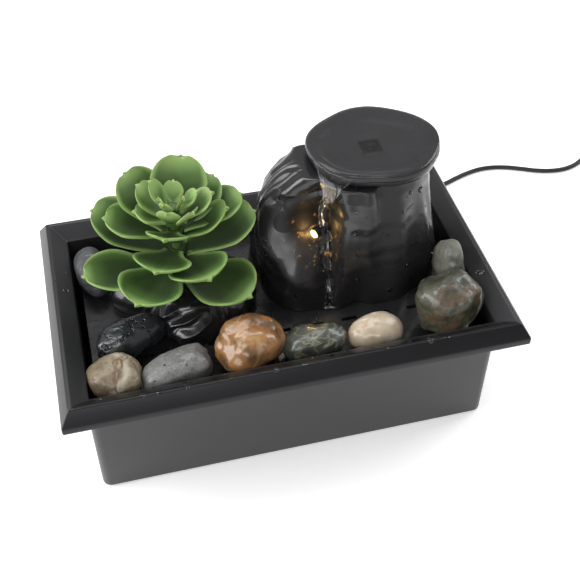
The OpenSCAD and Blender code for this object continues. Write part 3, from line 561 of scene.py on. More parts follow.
# Painted shade: the cave is made black metal, which hardly mirrors anything, so that it reads as dark as
# deep shadow. A band of the right block is matt. Painted light: amber glints and glow lie on the rock round
# the lamp.
painted_cave_shade = 1 - where.away((0.021, -0.004, 0.12)).step(0.013, 0.021)
dull = painted_cave_shade.or_more(where.part(0).near(0.066, 0.024))
wet = wet * (1 - dull)
feed(Base_Color=(swirl * 0.7 + pores * 0.3).tint((0.007, 0.007, 0.008), (0.017, 0.017, 0.019)),
     Roughness=0.27 - wet * 0.12 + pores * 0.08 + dull * 0.28, Coat_Weight=wet * 0.6,
     Metallic=painted_cave_shade * 0.94,
     Emission_Color=(painted_lamp_glow + painted_glints * 0.22).tint((0.0, 0.0, 0.0), (1.0, 0.48, 0.10)),
     Normal=(swirl * 0.75 + where.noise(34, 3, 0.4, 0.5, (1, 1, 0.6)) * 0.6).bump(0.00042))
rock_rings = np.concatenate([rock, roof, ceiling, inner])
rock_column = put_rings("rock_column_moulding", rock_rings, rock_material, caps=False)
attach(rock_column, "deck")
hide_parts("rock_column")

# Low rock: a smaller hollow moulding of the same folded rock. The succulent's socket stands in its
# top, and two screws hold it from below.
mound_axis = np.array((-0.053, 0.010))
mound_h = 0.023


def mound_r(a, u):
    """Radius of the low rock in millimetres at angle a and share u of its height: a rounded box that
    draws in like a dome, with two waves and a dent at the left front."""
    dome = squircle(a, 43, 40, 36, 35, 2.3) * np.sqrt(1 - 0.72 * u ** 2.4)
    dent = 17 * (1 - 0.75 * u ** 3) * np.exp(-((a + 147) / 26) ** 2)
    return dome + 1.8 * sine(4 * a + 200 * u) + 1.2 * sine(7 * a - 120 * u) - dent


def mound_points(a, u, inset=0.0):
    """Points of the low rock, or of its hollow, by the same rule as the column's."""
    height = deck_top + rock_lift + u * (mound_h - inset)
    return ring(mound_axis, mound_r(a, u) / 1000 - inset, a, height)


angle, share = np.meshgrid(np.linspace(-180, 180, 300, endpoint=False), np.linspace(0, 1, 60))
angle = (angle + 213) % 360 - 213  # from -213 to 147 degrees, so that the dent at -147 isn't cut
mound = mound_points(angle, share)
outward = np.stack([cosine(angle), sine(angle), 0.5 * share], -1)
relief = 1.8 * folds(mound, 0.032, 31) + 0.6 * waves(mound, 0.018, 35) + 0.15 * waves(mound, 0.007, 37)
mound = mound + outward * (relief * np.clip(share / 0.06, 0.3, 1) * 0.001)[..., None]
mound_inner = mound_points(angle[::-5], share[::-5], rock_wall)
crown = inwards(mound[-1], mound_axis, deck_top + mound_h, (0.15, 0.4, 0.62))
crown[..., 2] += 0.0012 * folds(crown, 0.012, 33) * np.array([0.8, 0.5, 0.0])[:, None]
under = inwards(mound_inner[0], mound_axis, deck_top + mound_h - rock_wall, (0.5, 0.2))
low_rock = put_rings("low_rock_moulding", np.concatenate([mound, crown, under, mound_inner]),
                     rock_material, caps=False)
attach(low_rock, "deck")
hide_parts("rock_mound")

# Spill dish: a separate irregular slab in the same black plastic, screwed to the column's top. Water
# rises through its square outlet, fills the shallow bowl and spills over the left front edge.
dish_centre = np.array((0.062, 0.024))
outlet_centre = np.array((0.062, 0.020))
outlet_half = 0.0115 / 2
dish_foot = deck_top + column_h
dish_edge = dish_foot + 0.0085
bowl_floor = dish_edge - 0.0036


def dish_r(a):
    """Radius of the dish's edge in millimetres at angle a: a circle with two slow waves and one
    faster one."""
    return (35.8 + 3.25 * cosine(a) + 1.2 * sine(a) + 2.4 * cosine(2 * a) - 0.45 * sine(2 * a)
            + 0.7 * sine(5 * a + 30))


def dish_ring(part, height, a):
    """A ring at the given part of the edge's radius, in metres."""
    return ring(dish_centre, part * dish_r(a) / 1000, a, height)


def outlet_ring(height, a, grow=0.0):
    """A ring round the square outlet, with slightly rounded corners."""
    radius = (outlet_half + grow) * (np.abs(cosine(a)) ** 14 + np.abs(sine(a)) ** 14) ** (-1 / 14)
    return ring(outlet_centre, radius, a, height)


a = np.linspace(-180, 180, 240, endpoint=False)
edge_line = rounded([(28.8, 0, 0), (34.9, 1.4, 1.2), (36.0, 3.8, 1.0), (35.6, 7.0, 1.2), (33.8, 8.5, 1.0),
                     (31.6, 8.0, 0.8), (29.4, 5.7, 1.0), (21.6, 4.95, 0)], 5) * (1 / 36, 0.001)
dish_rings = np.array([
    outlet_ring(dish_foot + 0.0001, a),
    *[dish_ring(part, dish_foot + 0.0001 + rise, a) for part, rise in edge_line],
    outlet_ring(bowl_floor + 0.0001, a, 0.0012), outlet_ring(bowl_floor - 0.0003, a)])
ripple = waves(dish_rings, 0.026, 41) * 0.7 + waves(dish_rings, 0.011, 43) * 0.15
outer_part = np.clip((np.linalg.norm(dish_rings[..., :2] - dish_centre, axis=-1) - 0.026) / 0.006, 0, 1)
dish_rings[..., 2] += 0.0006 * ripple * outer_part * (dish_rings[..., 2] > dish_foot + 0.001)
dish_rings[..., :2] += (dish_rings[..., :2] - dish_centre) * (0.015 * ripple * outer_part)[..., None]
dish = put_rings("spill_dish_moulding", dish_rings, rock_material, caps=False)
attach(dish, "deck")
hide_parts("spill_dish")

# Water: a film that wells up in the dish, a clear curtain that folds over its left front edge, the
# stream down the groove, and drops. None of it is a part of the CAD model. It rides with the deck,
# except the drops on the rim, which ride with the basin.


def water_finish(name, dark, light, relief, scale, alpha=1.0):
    """Clear water: its tint, and the height and fineness of the ripples on it."""
    material, where, feed = finish(name, IOR=1.333, Transmission_Weight=1.0, Alpha=alpha)
    feed(Base_Color=where.noise(120).tint(dark, light), Roughness=where.noise(300) * 0.02,
         Normal=where.noise(scale, 3, 0.5, 0.4).bump(relief))
    return material


water = water_finish("water_clear", (0.97, 0.98, 0.98), (1.0, 1.0, 1.0), 0.0004, 260)
deep_water, where, feed = finish("water_over_black", IOR=1.333, Transmission_Weight=0.8)
off_x, off_y = where.part(0) - outlet_centre[0], where.part(1) - outlet_centre[1]
beyond = off_x.size().or_more(off_y.size())
# The water is tinted grey, which dims the black dish seen through it. It is darker still over the outlet:
# painted shade of the hole beneath.
feed(Base_Color=beyond.step(0.0054, 0.0064).tint((0.07, 0.07, 0.07), where.noise(70).tint(
         (0.12, 0.12, 0.126), (0.16, 0.16, 0.168))),
     Roughness=where.noise(300) * 0.04 + 0.06, Normal=where.noise(90, 3, 0.5, 0.4).bump(0.00005))
thin_water = water_finish("water_sheet", (0.96, 0.97, 0.97), (1.0, 1.0, 1.0), 0.00022, 230, 0.55)
a = np.linspace(-180, 180, 180, endpoint=False)
part = np.linspace(0.02, 1, 46)[:, None]
brim = dish_ring(0.94, dish_edge + 0.0008, a)
outlet_middle = np.array((*outlet_centre, dish_edge + 0.0008))
film = outlet_middle + (brim - outlet_middle) * part[..., None]
away = np.linalg.norm(film[..., :2] - outlet_centre, axis=-1)
film[..., 2] += 0.0002 * np.cos(2 * np.pi * away / 0.0085) * np.exp(-(away / 0.011) ** 2)
film[..., 2] += 0.00008 * waves(film * (1, 1, 0), 0.024, 51)
bead = 0.0003 * waves(np.stack([cosine(a), sine(a), 0 * a], -1) * 0.03, 0.02, 53)
brink = [dish_ring(part, dish_edge + rise, a) for part, rise in (
    (0.963, 0.0007 + bead * 0.3), (0.984, 0.0001 + bead), (0.997, bead - 0.0012), (1.003, bead - 0.0028),
    (1.001, bead - 0.0036))]
bed = [dish_ring(part, height, a) for part, height in (
    (0.6, bowl_floor + 0.0003), (0.815, bowl_floor + 0.0012), (0.875, dish_edge - 0.0001),
    (0.935, dish_edge + 0.0004), (0.97, dish_edge - 0.0005), (0.994, dish_edge - 0.0024))]
welling = put_rings("water_in_dish", np.concatenate([bed, brink[::-1], film[::-1]]), deep_water)
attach(welling, "deck")


def curtain(top, foot, s, t):
    """A hanging sheet between a top line and a foot line: a point goes straight from one to the
    other, sagging inwards, and shallow folds run down it."""
    line = top[None] * (1 - s[:, None, None]) + foot[None] * s[:, None, None]
    pinch = np.sin(np.pi * s)[:, None] * 0.0016
    flow = 0.0006 * np.sin(26 * t[None] + 9 * s[:, None]) * (0.25 + s[:, None])
    flow = flow + 0.0004 * np.sin(61 * t[None] - 14 * s[:, None])
    line[..., 0] += 0.55 * flow + 0.8 * pinch
    line[..., 1] += -0.8 * flow + 0.6 * pinch
    return line


s = np.linspace(0, 1, 60)
t = np.linspace(0, 1, 90)
lip_turn = -172 + 50 * t
lip_line = dish_ring(0.93, dish_edge + 0.0004, lip_turn)
edge_top = dish_ring(1.0, dish_edge - 0.0012, lip_turn)
gather = np.array((0.0300, -0.0050, 0.1370)) + (t - 0.5)[:, None] * np.array((0.0034, -0.0012, 0.0))
front = np.concatenate([
    curtain(lip_line, edge_top, s[:12] / s[11] * 0.95, t),
    curtain(edge_top, gather, s, t) + np.array((-0.0006, -0.0008, 0.0)) * (1 - s)[:, None, None]])
down = np.linspace(0, 1, len(front))[:, None, None]
thick = np.array((0.00022, 0.00034, 0.0)) * (0.6 + 0.8 * down)
sheet = np.concatenate([front, (front + thick)[:, ::-1]], 1)
spill = put_rings("water_curtain", sheet[::-1], thin_water)
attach(spill, "deck")


def ribbon(line, width, depth, seed):
    """A flat tube round a line: an ellipse at each point whose sides are swollen and pinched by
    waves, which turns to face outwards from the column."""
    step = np.gradient(line, axis=0)
    step /= np.linalg.norm(step, axis=1)[:, None]
    out = line - np.array((*column_axis, 0))
    out[:, 2] = 0
    out -= (out * step).sum(1)[:, None] * step
    out /= np.linalg.norm(out, axis=1)[:, None]
    aside = np.cross(out, step)
    turn = np.linspace(0, 2 * np.pi, 20, endpoint=False)
    place = np.stack(np.broadcast_arrays(np.cos(turn) * 0.004, np.sin(turn) * 0.004, line[:, 2:]), -1)
    swell = 1 + 0.45 * waves(place, 0.007, seed) + 0.25 * waves(place, 0.003, seed + 1)
    rings = line[:, None] + aside[:, None] * (width[:, None] * np.cos(turn) * swell)[..., None]
    return rings + out[:, None] * (depth[:, None] * np.sin(turn) * swell)[..., None]


share = np.linspace(0.02, 0.82, 60)
groove = column_points(along(share, notch_turn), share) + np.array((-0.0006, -0.0010, 0.0))
fall = np.linspace(0, 1, 14)[1:, None]
mouth = groove[-1] + (gather.mean(0) + np.array((0, 0, 0.002)) - groove[-1]) * fall
stream_line = np.concatenate([groove, mouth])
span = np.linspace(0, 1, len(stream_line))
stream_line[:, 0] += 0.0005 * np.sin(31 * span) * span
stream_line[:, 1] += 0.0004 * np.cos(37 * span) * span
stream_rings = ribbon(stream_line, 0.0009 + 0.0007 * span, 0.0007 + 0.0005 * span, 61)
stream = put_rings("water_stream", stream_rings, water)
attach(stream, "deck")
side_rings = ribbon(groove[6:44] + np.array((0.0042, -0.0010, 0)) * np.linspace(0.4, 1, 38)[:, None],
                    np.full(38, 0.0006), np.full(38, 0.0005), 71)
side_stream = put_rings("water_side_stream", side_rings, water)
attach(side_stream, "deck")


def put_drops(name, feet, normals, sizes):
    """Drops on a surface: low domes with a flat foot, each turned to its normal."""
    height, turn = np.meshgrid(np.arange(5) / 5, np.arange(14) * np.pi / 7, indexing="ij")
    radius = np.sqrt(1 - height ** 2.2)
    dome = np.stack([radius * np.cos(turn), radius * np.sin(turn), height * 0.55 - 0.06], -1)
    dome = np.concatenate([dome.reshape(-1, 3), [(0, 0, -0.06), (0, 0, 0.5)]])
    faces = closed_faces(*height.shape)
    normals = normals / np.linalg.norm(normals, axis=1)[:, None]
    east = np.cross(normals, (0.3, 0.9, 0.2))
    east /= np.linalg.norm(east, axis=1)[:, None]
    north = np.cross(normals, east)
    points = feet[:, None] + sizes[:, None, None] * (
        dome[None, :, :1] * east[:, None] + dome[None, :, 1:2] * north[:, None]
        + dome[None, :, 2:] * normals[:, None])
    all_faces = [[corner + len(dome) * n for corner in face] for n in range(len(feet)) for face in faces]
    return put(name, points, all_faces, water)


random = np.random.default_rng(5)
count = 60
drop_angle = random.uniform(-175, -20, count)
drop_share = random.uniform(0.06, 0.94, count)
drop_row = np.clip((drop_share * (rock_rows - 1)).astype(int), 1, rock_rows - 2)
drop_column = ((drop_angle + 180) / 360 * rock_columns).astype(int)
feet = rock_rings[drop_row, drop_column]
across = rock_rings[drop_row, drop_column + 1] - rock_rings[drop_row, drop_column - 1]
up = rock_rings[drop_row + 1, drop_column] - rock_rings[drop_row - 1, drop_column]
rock_drops = put_drops("water_drops_on_rock", feet, np.cross(across, up),
                       0.0006 + 0.0017 * random.random(count) ** 2)
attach(rock_drops, "deck")
count = 70
on_front = random.random(count) < 0.72
x = np.where(on_front, random.uniform(-half_w + 0.004, half_w - 0.004, count), 0)
inset = np.where(random.random(count) < 0.5, 0.006, random.uniform(0.009, 0.014, count))
y = np.where(on_front, -half_d + inset, random.uniform(-half_d, half_d * 0.6, count))
x = np.where(on_front, x, np.where(random.random(count) < 0.4, -half_w + inset, half_w - inset))
steepness = (rim_top - inner_foot) / (inner_inset - crest_inner)
feet = np.stack([x, y, rim_top - np.clip(inset - crest_inner, 0, 1) * steepness], 1)
lean = np.where(inset > crest_inner, 0.6, 0.0)
normals = np.stack([np.where(on_front, 0, -np.sign(x) * lean), np.where(on_front, lean, 0),
                    np.ones(count)], 1)
keep = (np.abs(x) < half_w - 0.003) & (np.abs(y) < half_d - 0.003)
rim_drops = put_drops("water_drops_on_rim", feet[keep], normals[keep],
                      0.0004 + 0.0016 * random.random(count)[keep] ** 2.5)
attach(rim_drops, "basin")

# Lamp: a warm diode behind a clear domed lens, in a black holder that is pushed into the rock from
# inside. It lights the cave and the back of the falling water. The amber glow on the rock round it is
# painted light.
glow, where, feed = finish("lamp_glow", Roughness=0.2, Emission_Strength=26.0)
feed(Base_Color=where.noise(900).tint((1.0, 0.82, 0.5), (1.0, 0.88, 0.6)),
     Emission_Color=where.noise(700).tint((1.0, 0.62, 0.22), (1.0, 0.74, 0.36)))
lamp_middle = (np.array(lens_low) + np.array(lens_high)) / 2
rise = np.linspace(-88, 88, 20)[:, None]
around = np.linspace(-180, 180, 28, endpoint=False)
lens_r = 0.0028
lens = put_rings("lamp_dome", ring(lamp_middle, lens_r * cosine(rise), around,
                                   lamp_middle[2] + lens_r * sine(rise)), glow)
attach(lens, "deck")
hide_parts("lamp_lens")
dress(rubber, "lamp_holder", "lamp_lead", "pump_lead", "cord_grommet")
cave_light = bpy.data.lights.new("cave_light", "POINT")
cave_light.energy = 0.016
cave_light.color = (1.0, 0.6, 0.2)
cave_light.shadow_soft_size = 0.002
cave_lamp = bpy.data.objects.new("cave_light", cave_light)
cave_lamp.location = (lens_low + lens_high) / 2 + Vector((-0.0046, -0.0034, 0.002))
scene.collection.objects.link(cave_lamp)

# Succulent: an artificial echeveria in soft plastic. Five whorls of spoon-shaped, cupped leaves with
# pale rolled rims are threaded on a stem, which stands loosely in a socket in the low rock.
stem_axis = np.array((mound_axis[0], mound_axis[1], 0.0))
leaf_half = 0.0012
low_leaves = [(184, 28, 53, 10, 36), (-131, 32.5, 42, 5, 40), (-46, 28, 49, 4, 42), (62, 30, 46, 6, 34),
              (118, 31, 46, 7, 34)]
spread_leaves = [(-119, 45, 31, 10, 34), (-70, 41, 37, 9.5, 36), (6, 41, 46, 17, 38),
                 (156, 43, 46, 22, 38), (82, 43, 46, 14, 34)]
high_leaves = [(168, 56, 37, 12, 30), (-9, 54, 29, 18, 23), (-112, 59, 21, 11, 24), (12, 58, 40, 11, 28),
               (130, 57, 33, 25, 33), (68, 58, 26, 31, 33), (40, 56, 34, 18, 28)]
inner_leaves = [(142, 66, 20, 17, 19), (174, 65, 20, 9, 17), (4, 66, 22, 13, 19), (-52, 66, 15, 13, 16),
                (-112, 67, 11, 13, 14)]
bud_leaves = [(140, 73, 12, 15, 12), (72, 73, 9, 12, 12), (2, 73, 14, 9, 12), (-130, 73, 7.5, 9, 9),
              (200, 74, 7, 10, 7), (-40, 74, 7, 10, 7)]


def leaf_share(t):
    """Width along a leaf: a narrow neck that widens smoothly to the blade and closes as a round."""
    neck = np.clip(t / 0.66, 0, 1)
    round_end = np.sqrt(np.clip(1 - (np.clip(t - 0.55, 0, 1) / 0.46) ** 2.2, 0, 1))
    return (0.36 + 0.64 * (3 * neck ** 2 - 2 * neck ** 3)) * round_end


def leaf_rings(bearing, root, reach, rise, width, hub, seed):
    """Rings across a leaf and how far each of their points is from the rim, as a share of the half
    width. The blade is cupped across, curls up along its length and has a thick rolled rim."""
    random = np.random.default_rng(seed)
    t = 0.999 * (1 - (1 - np.linspace(0, 1, 44)) ** 1.6)[:, None]
    s = np.sin(np.linspace(-np.pi / 2, np.pi / 2, 25))
    s = np.concatenate([s, s[::-1]])[None]
    side = np.concatenate([np.ones(25), -np.ones(25)])[None]
    half_width = width / 2000 * leaf_share(t)
    reach_in = (hub - 0.9) / 1000
    tip = np.exp(-((1 - t) / 0.03) ** 2) * np.exp(-(s / 0.26) ** 2)
    radius = reach_in + (reach / 1000 - reach_in) * t + 0.0022 * tip
    lean, roll, curl = random.uniform(-1, 1, 3)
    height = root + rise * (0.55 * t + 0.45 * t ** 2) + curl * t ** 2 * (1 - t)
    cup = half_width * (0.30 * s ** 2 + 0.035 * lean * s) * np.sin(np.pi * np.clip(t, 0.2, 0.9))
    cup = np.maximum(cup, 0.26 * half_width * s ** 2)
    crease = 0.0005 * np.exp(-(s / 0.12) ** 2) * np.exp(-((t - 0.62) / 0.3) ** 2)
    rim = np.exp(-((np.abs(s) - 0.9) / 0.1) ** 2)
    closing = np.sqrt(np.clip(1 - np.abs(s) ** 9, 0, 1))
    closing = closing * np.clip((1.003 - t) / 0.02, 0.3, 1)
    thick = leaf_half * (0.62 + 0.38 * (1 - s ** 2) + 0.4 * rim) * closing
    z = deck_top + height / 1000 + cup - crease * (side > 0) + side * thick + 0.0004 * roll * s * t
    y = half_width * s
    turn = math.radians(bearing)
    points = np.stack([stem_axis[0] + radius * math.cos(turn) - y * math.sin(turn),
                       stem_axis[1] + radius * math.sin(turn) + y * math.cos(turn), z], -1)
    from_rim = np.minimum((1 - np.abs(s)) * half_width / 0.009, (1 - t) * reach / 16)
    return points, np.stack(np.broadcast_arrays(np.clip(from_rim, 0, 1), t), -1)


def whorl(name, leaves, hub, material, seed):
    """A whorl: its ring round the stem and its leaves, each closed at both ends."""
    roots = np.array([leaf[1] for leaf in leaves]) / 1000
    a = np.linspace(-180, 180, 36, endpoint=False)
    bottom, top = deck_top + roots.min() - 0.0015, deck_top + roots.max() + 0.0015
    outline = rounded([(2.7, 0, 0), (2.7, -1, 0.2), (hub, -1, 0.7), (hub, 1, 0.7), (2.7, 1, 0.2),
                       (2.7, 0, 0)])
    z = (bottom + top) / 2 + outline[:, 1:] * (top - bottom) / 2
    collar = ring(stem_axis, outline[:, :1] / 1000, a, z)
    start = collar.size // 3
    points = [collar.reshape(-1, 3)]
    uvs = [np.tile((0.5, 0.1), (start, 1))]
    faces = grid_faces(len(collar), len(a)).tolist()
    for number, leaf in enumerate(leaves):
        rings, uv = leaf_rings(*leaf, hub, seed + number)
        faces += [[corner + start for corner in face[::-1]] for face in closed_faces(*rings.shape[:2])]
        points += [rings.reshape(-1, 3), rings[:1].mean(1), rings[-1:].mean(1)]
        uvs += [uv.reshape(-1, 2), np.array([(0.1, 0.0), (0.0, 1.0)])]
        start += rings.size // 3 + 2
    return put(name, np.concatenate(points), faces, material, uv=np.concatenate(uvs))


def leaf_finish(name, heart, blade, rim):
    """Soft leaf plastic: dark at the heart of the blade, lighter outwards, with a pale rolled rim."""
    material, where, feed = finish(name, IOR=1.45, Subsurface_Weight=0.12, Subsurface_Scale=0.003,
                                   Specular_IOR_Level=0.4)
    uv = where.node("ShaderNodeUVMap", {"uv_map": "UVMap"})
    from_rim = uv.part(0)
    cloud = where.noise(60, 3)
    depth = (from_rim * 0.75 + (1 - uv.part(1)) * 0.42 + (cloud - 0.5) * 0.3).step(0.08, 0.92)
    edge = 1 - (from_rim + (cloud - 0.5) * 0.08).step(0.04, 0.42)
    feed(Base_Color=edge.tint(depth.tint(blade, heart), rim),
         Roughness=0.42 + cloud * 0.12 - edge * 0.06, Normal=where.noise(700, 3).bump(0.00012))
    return material


leaf_green = leaf_finish("leaf_green_soft", (0.026, 0.052, 0.012), (0.080, 0.160, 0.036),
                         (0.21, 0.33, 0.10))
leaf_pale = leaf_finish("leaf_pale_soft", (0.050, 0.100, 0.024), (0.125, 0.225, 0.056),
                        (0.27, 0.40, 0.14))
stem_green, where, feed = finish("stem_green")
feed(Base_Color=where.noise(300).tint((0.06, 0.10, 0.03), (0.12, 0.19, 0.06)),
     Roughness=where.noise(200) * 0.2 + 0.4)
dress(stem_green, "plant_stem", "plant_socket")
for name, leaves, hub, material, seed in (
        ("leaves_low", low_leaves, 5.2, leaf_green, 100),
        ("leaves_spread", spread_leaves, 5.2, leaf_green, 120),
        ("leaves_high", high_leaves, 5.2, leaf_green, 140),
        ("leaves_inner", inner_leaves, 5.2, leaf_pale, 160),
        ("leaves_bud", bud_leaves, 3.9, leaf_pale, 180)):
    piece = whorl(name + "_soft", leaves, hub, material, seed)
    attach(piece, "plant")
    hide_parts(name)
    "leaf_pale" if material == leaf_pale else "leaf_plastic"

# Stones: nine river stones that lie loose on the wet deck. Each is a rounded, slightly squared pebble
# with its own relief and its own stone.


def stone_finish(name, look):
    """A stone's material: look gives its colour, its roughness, the height of its relief and that
    relief's depth in metres from the object coordinates."""
    material, where, feed = finish(name, IOR=1.52, Coat_Roughness=0.06)
    colour, roughness, height, depth = look(where)
    wet = where.noise(45, 3).step(0.35, 0.6)
    feed(Base_Color=colour, Roughness=roughness, Coat_Weight=wet * 0.5, Normal=height.bump(depth))
    return material


def veins(where, scale, width, shift=(0.0, 0.0, 0.0)):
    """Thin wandering lines, where warped noise crosses its middle value."""
    return where.noise(scale, 4, 0.55, 0.5, shift=shift).near(0.5, width)


def slate_look(where):
    """Dark blue-grey slate in soft clouds, with a matt grain."""
    cloud, grain = where.noise(90, 5, 0.6), where.noise(800, 3)
    return ((cloud * 0.7 + grain * 0.3).tint((0.022, 0.023, 0.026), (0.085, 0.087, 0.094)),
            cloud * 0.2 + 0.42, cloud * 0.7 + grain * 0.3, 0.0009)


def polished_black_look(where):
    """Nearly black, polished, with a few blacker cracks."""
    cloud, crack = where.noise(70, 4), veins(where, 34, 0.018)
    base = cloud.tint((0.008, 0.009, 0.011), (0.035, 0.038, 0.043))
    height = where.noise(55, 3, 0.5, 1.2) - crack * 0.5
    return crack.tint(base, (0.002, 0.002, 0.002)), cloud * 0.12 + 0.14, height, 0.0012


def speckled_tan_look(where):
    """Tan with dark specks, one wide pale band and thin rusty veins."""
    cloud, dots = where.noise(55, 4), where.cells(520)
    base = cloud.step(0.3, 0.7).tint((0.115, 0.085, 0.050), (0.24, 0.195, 0.125))
    specks = 1 - dots.step(0.12, 0.30)
    base = (specks * 0.75).tint(base, (0.06, 0.055, 0.05))
    band = veins(where, 16, 0.07, (0.3, 0.1, 0.0))
    base = (band * 0.6).tint(base, (0.55, 0.50, 0.40))
    base = (veins(where, 24, 0.02, (0.7, 0.0, 0.2)) * 0.8).tint(base, (0.11, 0.05, 0.02))
    return base, cloud * 0.15 + 0.36, cloud * 0.6 + dots * 0.4, 0.0006


def grey_look(where):
    """Mid grey and matt, with small dark pits."""
    cloud, grain = where.noise(50, 5, 0.6), where.noise(900, 2)
    base = (cloud * 0.6 + grain * 0.4).step(0.3, 0.7).tint((0.085, 0.085, 0.082), (0.23, 0.23, 0.22))
    pits = 1 - where.cells(150, shift=(0.2, 0.4, 0.1)).step(0.06, 0.16)
    base = (pits * 0.85).tint(base, (0.02, 0.018, 0.016))
    return base, cloud * 0.15 + 0.45, cloud * 0.5 + grain * 0.3 - pits * 0.6, 0.0007


def amber_look(where):
    """Warm brown clouds, mottled darker, with pale threads."""
    cloud, mottle = where.noise(42, 4, 0.55, 0.8), where.noise(140, 5, 0.65)
    base = cloud.step(0.35, 0.65).tint((0.13, 0.060, 0.022), (0.30, 0.145, 0.050))
    base = (mottle.step(0.5, 0.64) * 0.8).tint(base, (0.075, 0.058, 0.040))
    base = (veins(where, 30, 0.03) * 0.5).tint(base, (0.38, 0.26, 0.13))
    return base, cloud * 0.12 + 0.18, cloud * 0.5 + mottle * 0.5, 0.0008


def green_mottled_look(where):
    """Blackish green with pale grey patches and thin yellowish veins."""
    cloud, patches = where.noise(48, 4, 0.6, 0.6), where.noise(95, 5, 0.7, 0.4)
    base = cloud.step(0.35, 0.65).tint((0.014, 0.019, 0.015), (0.050, 0.058, 0.047))
    base = (patches.step(0.56, 0.66) * 0.7).tint(base, (0.26, 0.27, 0.25))
    base = (veins(where, 26, 0.014) * 0.5).tint(base, (0.24, 0.21, 0.11))
    return base, cloud * 0.15 + 0.28, cloud * 0.5 + patches * 0.5, 0.0009


def cream_look(where):
    """Cream clouds with whiter patches and thin brown threads."""
    cloud, patches = where.noise(38, 3), where.noise(70, 4, 0.5, 0.3)
    base = cloud.step(0.3, 0.7).tint((0.30, 0.225, 0.145), (0.47, 0.40, 0.30))
    base = (patches.step(0.5, 0.64) * 0.75).tint(base, (0.50, 0.48, 0.44))
    base = (veins(where, 22, 0.012) * 0.5).tint(base, (0.28, 0.18, 0.09))
    return base, cloud * 0.12 + 0.24, cloud * 0.5 + patches * 0.5, 0.0005


def veined_rock_look(where):
    """Rough dark olive, crossed by rusty veins and broad pale ones."""
    cloud, grain = where.noise(44, 5, 0.65, 0.5), where.noise(420, 4)
    base = cloud.step(0.32, 0.68).tint((0.022, 0.025, 0.016), (0.085, 0.083, 0.056))
    base = (veins(where, 21, 0.04, (0.5, 0.2, 0.7)) * 0.45).tint(base, (0.12, 0.060, 0.025))
    base = (veins(where, 15, 0.02) * 0.8).tint(base, (0.36, 0.35, 0.31))
    return base, cloud * 0.2 + 0.34, cloud * 0.6 + grain * 0.4, 0.0016


def grey_green_look(where):
    """Plain grey-green with broad pale clouds."""
    cloud, grain = where.noise(50, 4, 0.6), where.noise(600, 3)
    base = cloud.step(0.35, 0.65).tint((0.055, 0.060, 0.046), (0.155, 0.160, 0.130))
    base = (where.noise(22, 2).step(0.5, 0.62) * 0.5).tint(base, (0.30, 0.29, 0.25))
    return base, cloud * 0.15 + 0.4, cloud * 0.6 + grain * 0.4, 0.0008


def put_stone(number, size, turn, power, look, knobs):
    """A pebble in the CAD stone's place: a superellipsoid with soft knobs and fine relief. The squash
    at its foot keeps it on the deck."""
    seed = 197 + 4 * number
    low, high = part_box("stone_" + str(number))
    middle = np.array(((low.x + high.x) / 2, (low.y + high.y) / 2, low.z))
    length, depth, height = np.array(size) / 1000
    a, rise = np.meshgrid(np.linspace(0, 2 * np.pi, 96, endpoint=False),
                          np.linspace(-0.485, 0.485, 48) * np.pi)
    bulge = np.cos(rise) ** (2 / power) if power < 2.4 else np.cos(rise) ** (1.8 / power)
    flat = (np.abs(np.cos(a)) ** power + np.abs(np.sin(a)) ** power) ** (-1 / power)
    unit = np.stack([flat * bulge * np.cos(a), flat * bulge * np.sin(a),
                     np.sign(rise) * np.abs(np.sin(rise)) ** (2 / power)], -1)
    points = unit * (length / 2, depth / 2, height / 2)
    relief = knobs * (waves(points, 0.026, seed) + 0.5 * waves(points, 0.012, seed + 1))
    relief += 0.16 * waves(points, 0.005, seed + 2)
    points *= 1 + relief[..., None] * 0.001 / np.array((length, depth, height)).mean() * 2
    spin = math.radians(turn)
    x = points[..., 0] * math.cos(spin) - points[..., 1] * math.sin(spin)
    y = points[..., 0] * math.sin(spin) + points[..., 1] * math.cos(spin)
    z = np.maximum(points[..., 2] + height / 2, 0.0002)
    rings = np.stack([x, y, z], -1) + middle
    material = stone_finish("stone_" + look.__name__.replace("_look", ""), look)
    piece = put_rings("river_stone_" + str(number), rings, material)
    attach(piece, "deck")
    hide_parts("stone_" + str(number))


stones = [((20, 33, 24), 8, 2.2, slate_look, 0.8), ((39, 21, 21), 20, 2.6, polished_black_look, 1.3),
          ((30, 26, 22), -8, 2.2, speckled_tan_look, 0.9), ((41, 21, 19), 14, 2.7, grey_look, 0.9),
          ((39, 31, 28), 18, 2.2, amber_look, 1.3), ((38, 23, 21), 2, 2.3, green_mottled_look, 0.9),
          ((34, 22, 20), 8, 2.1, cream_look, 0.6), ((36, 33, 32), 40, 2.5, veined_rock_look, 1.9),
          ((17.2, 22, 35.5), 12, 2.2, grey_green_look, 1.0)]
for number, stone in enumerate(stones, 1):
    put_stone(number, *stone)

# Pump, plumbing and fixings: a submersible pump under the rock, with its dial, cover and rotor, its
# riser tube, suction cups, screws, the lamp's plug, the feet, and the cord's low-voltage plug.


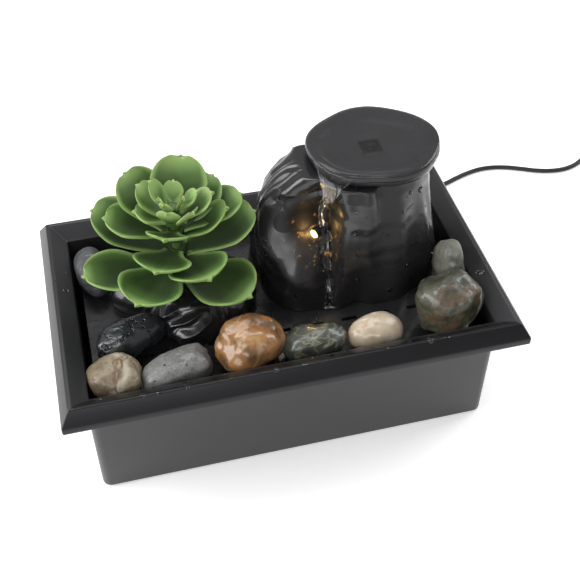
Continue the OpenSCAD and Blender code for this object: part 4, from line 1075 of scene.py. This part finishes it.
def dress_stock(names, name, dark, light, roughness, relief=0.00006, scale=500, metal=0.0):
    """Gives CAD pieces a finish for moulded or machined stock: two close tones in fine clouds, with
    a fine grain."""
    material, where, feed = finish(name, Metallic=metal)
    grain = where.noise(scale, 3)
    feed(Base_Color=(where.noise(40) * 0.5 + grain * 0.5).tint(dark, light),
         Roughness=where.noise(150) * 0.12 + roughness, Normal=grain.bump(relief))
    dress(material, *names.split())


for stock in (
        ("pump_body intake_cover", "pump_black", (0.014, 0.015, 0.018), (0.026, 0.028, 0.033), 0.38),
        ("flow_dial", "dial_grey", (0.05, 0.055, 0.06), (0.08, 0.085, 0.095), 0.4),
        ("impeller", "impeller_white", (0.55, 0.57, 0.60), (0.72, 0.74, 0.78), 0.25),
        ("rotor_magnet", "magnet_ground", (0.05, 0.05, 0.055), (0.09, 0.09, 0.095), 0.45, 0.00006, 500, 0.4),
        ("pump_shaft", "shaft_ceramic", (0.78, 0.78, 0.74), (0.9, 0.9, 0.87), 0.15),
        ("stator_core", "core_sheets", (0.2, 0.21, 0.22), (0.3, 0.31, 0.33), 0.4, 0.0002, 900, 0.9),
        ("stator_coil", "winding_copper", (0.35, 0.11, 0.03), (0.55, 0.2, 0.06), 0.3, 0.0002, 1400, 0.9),
        ("front_bush rear_bush foot_pads", "bush_rubber", (0.01, 0.01, 0.01), (0.022, 0.022, 0.022), 0.6),
        ("suction_cups", "cup_rubber", (0.035, 0.055, 0.035), (0.06, 0.09, 0.06), 0.45),
        ("riser_tube", "tube_smoke", (0.06, 0.06, 0.066), (0.1, 0.1, 0.11), 0.22),
        ("column_screws mound_screws dish_screws", "screw_steel", (0.5, 0.5, 0.5), (0.66, 0.66, 0.65),
         0.28, 0.00004, 1200, 1.0),
        ("lamp_plug", "connector_ivory", (0.66, 0.65, 0.6), (0.78, 0.77, 0.72), 0.35),
        ("plug_body", "plug_grained", (0.012, 0.012, 0.013), (0.026, 0.026, 0.028), 0.42, 0.0001, 900),
        ("plug_shell", "plug_plated", (0.62, 0.62, 0.63), (0.76, 0.76, 0.77), 0.16, 0.00003, 900, 1.0)):
    dress_stock(*stock)
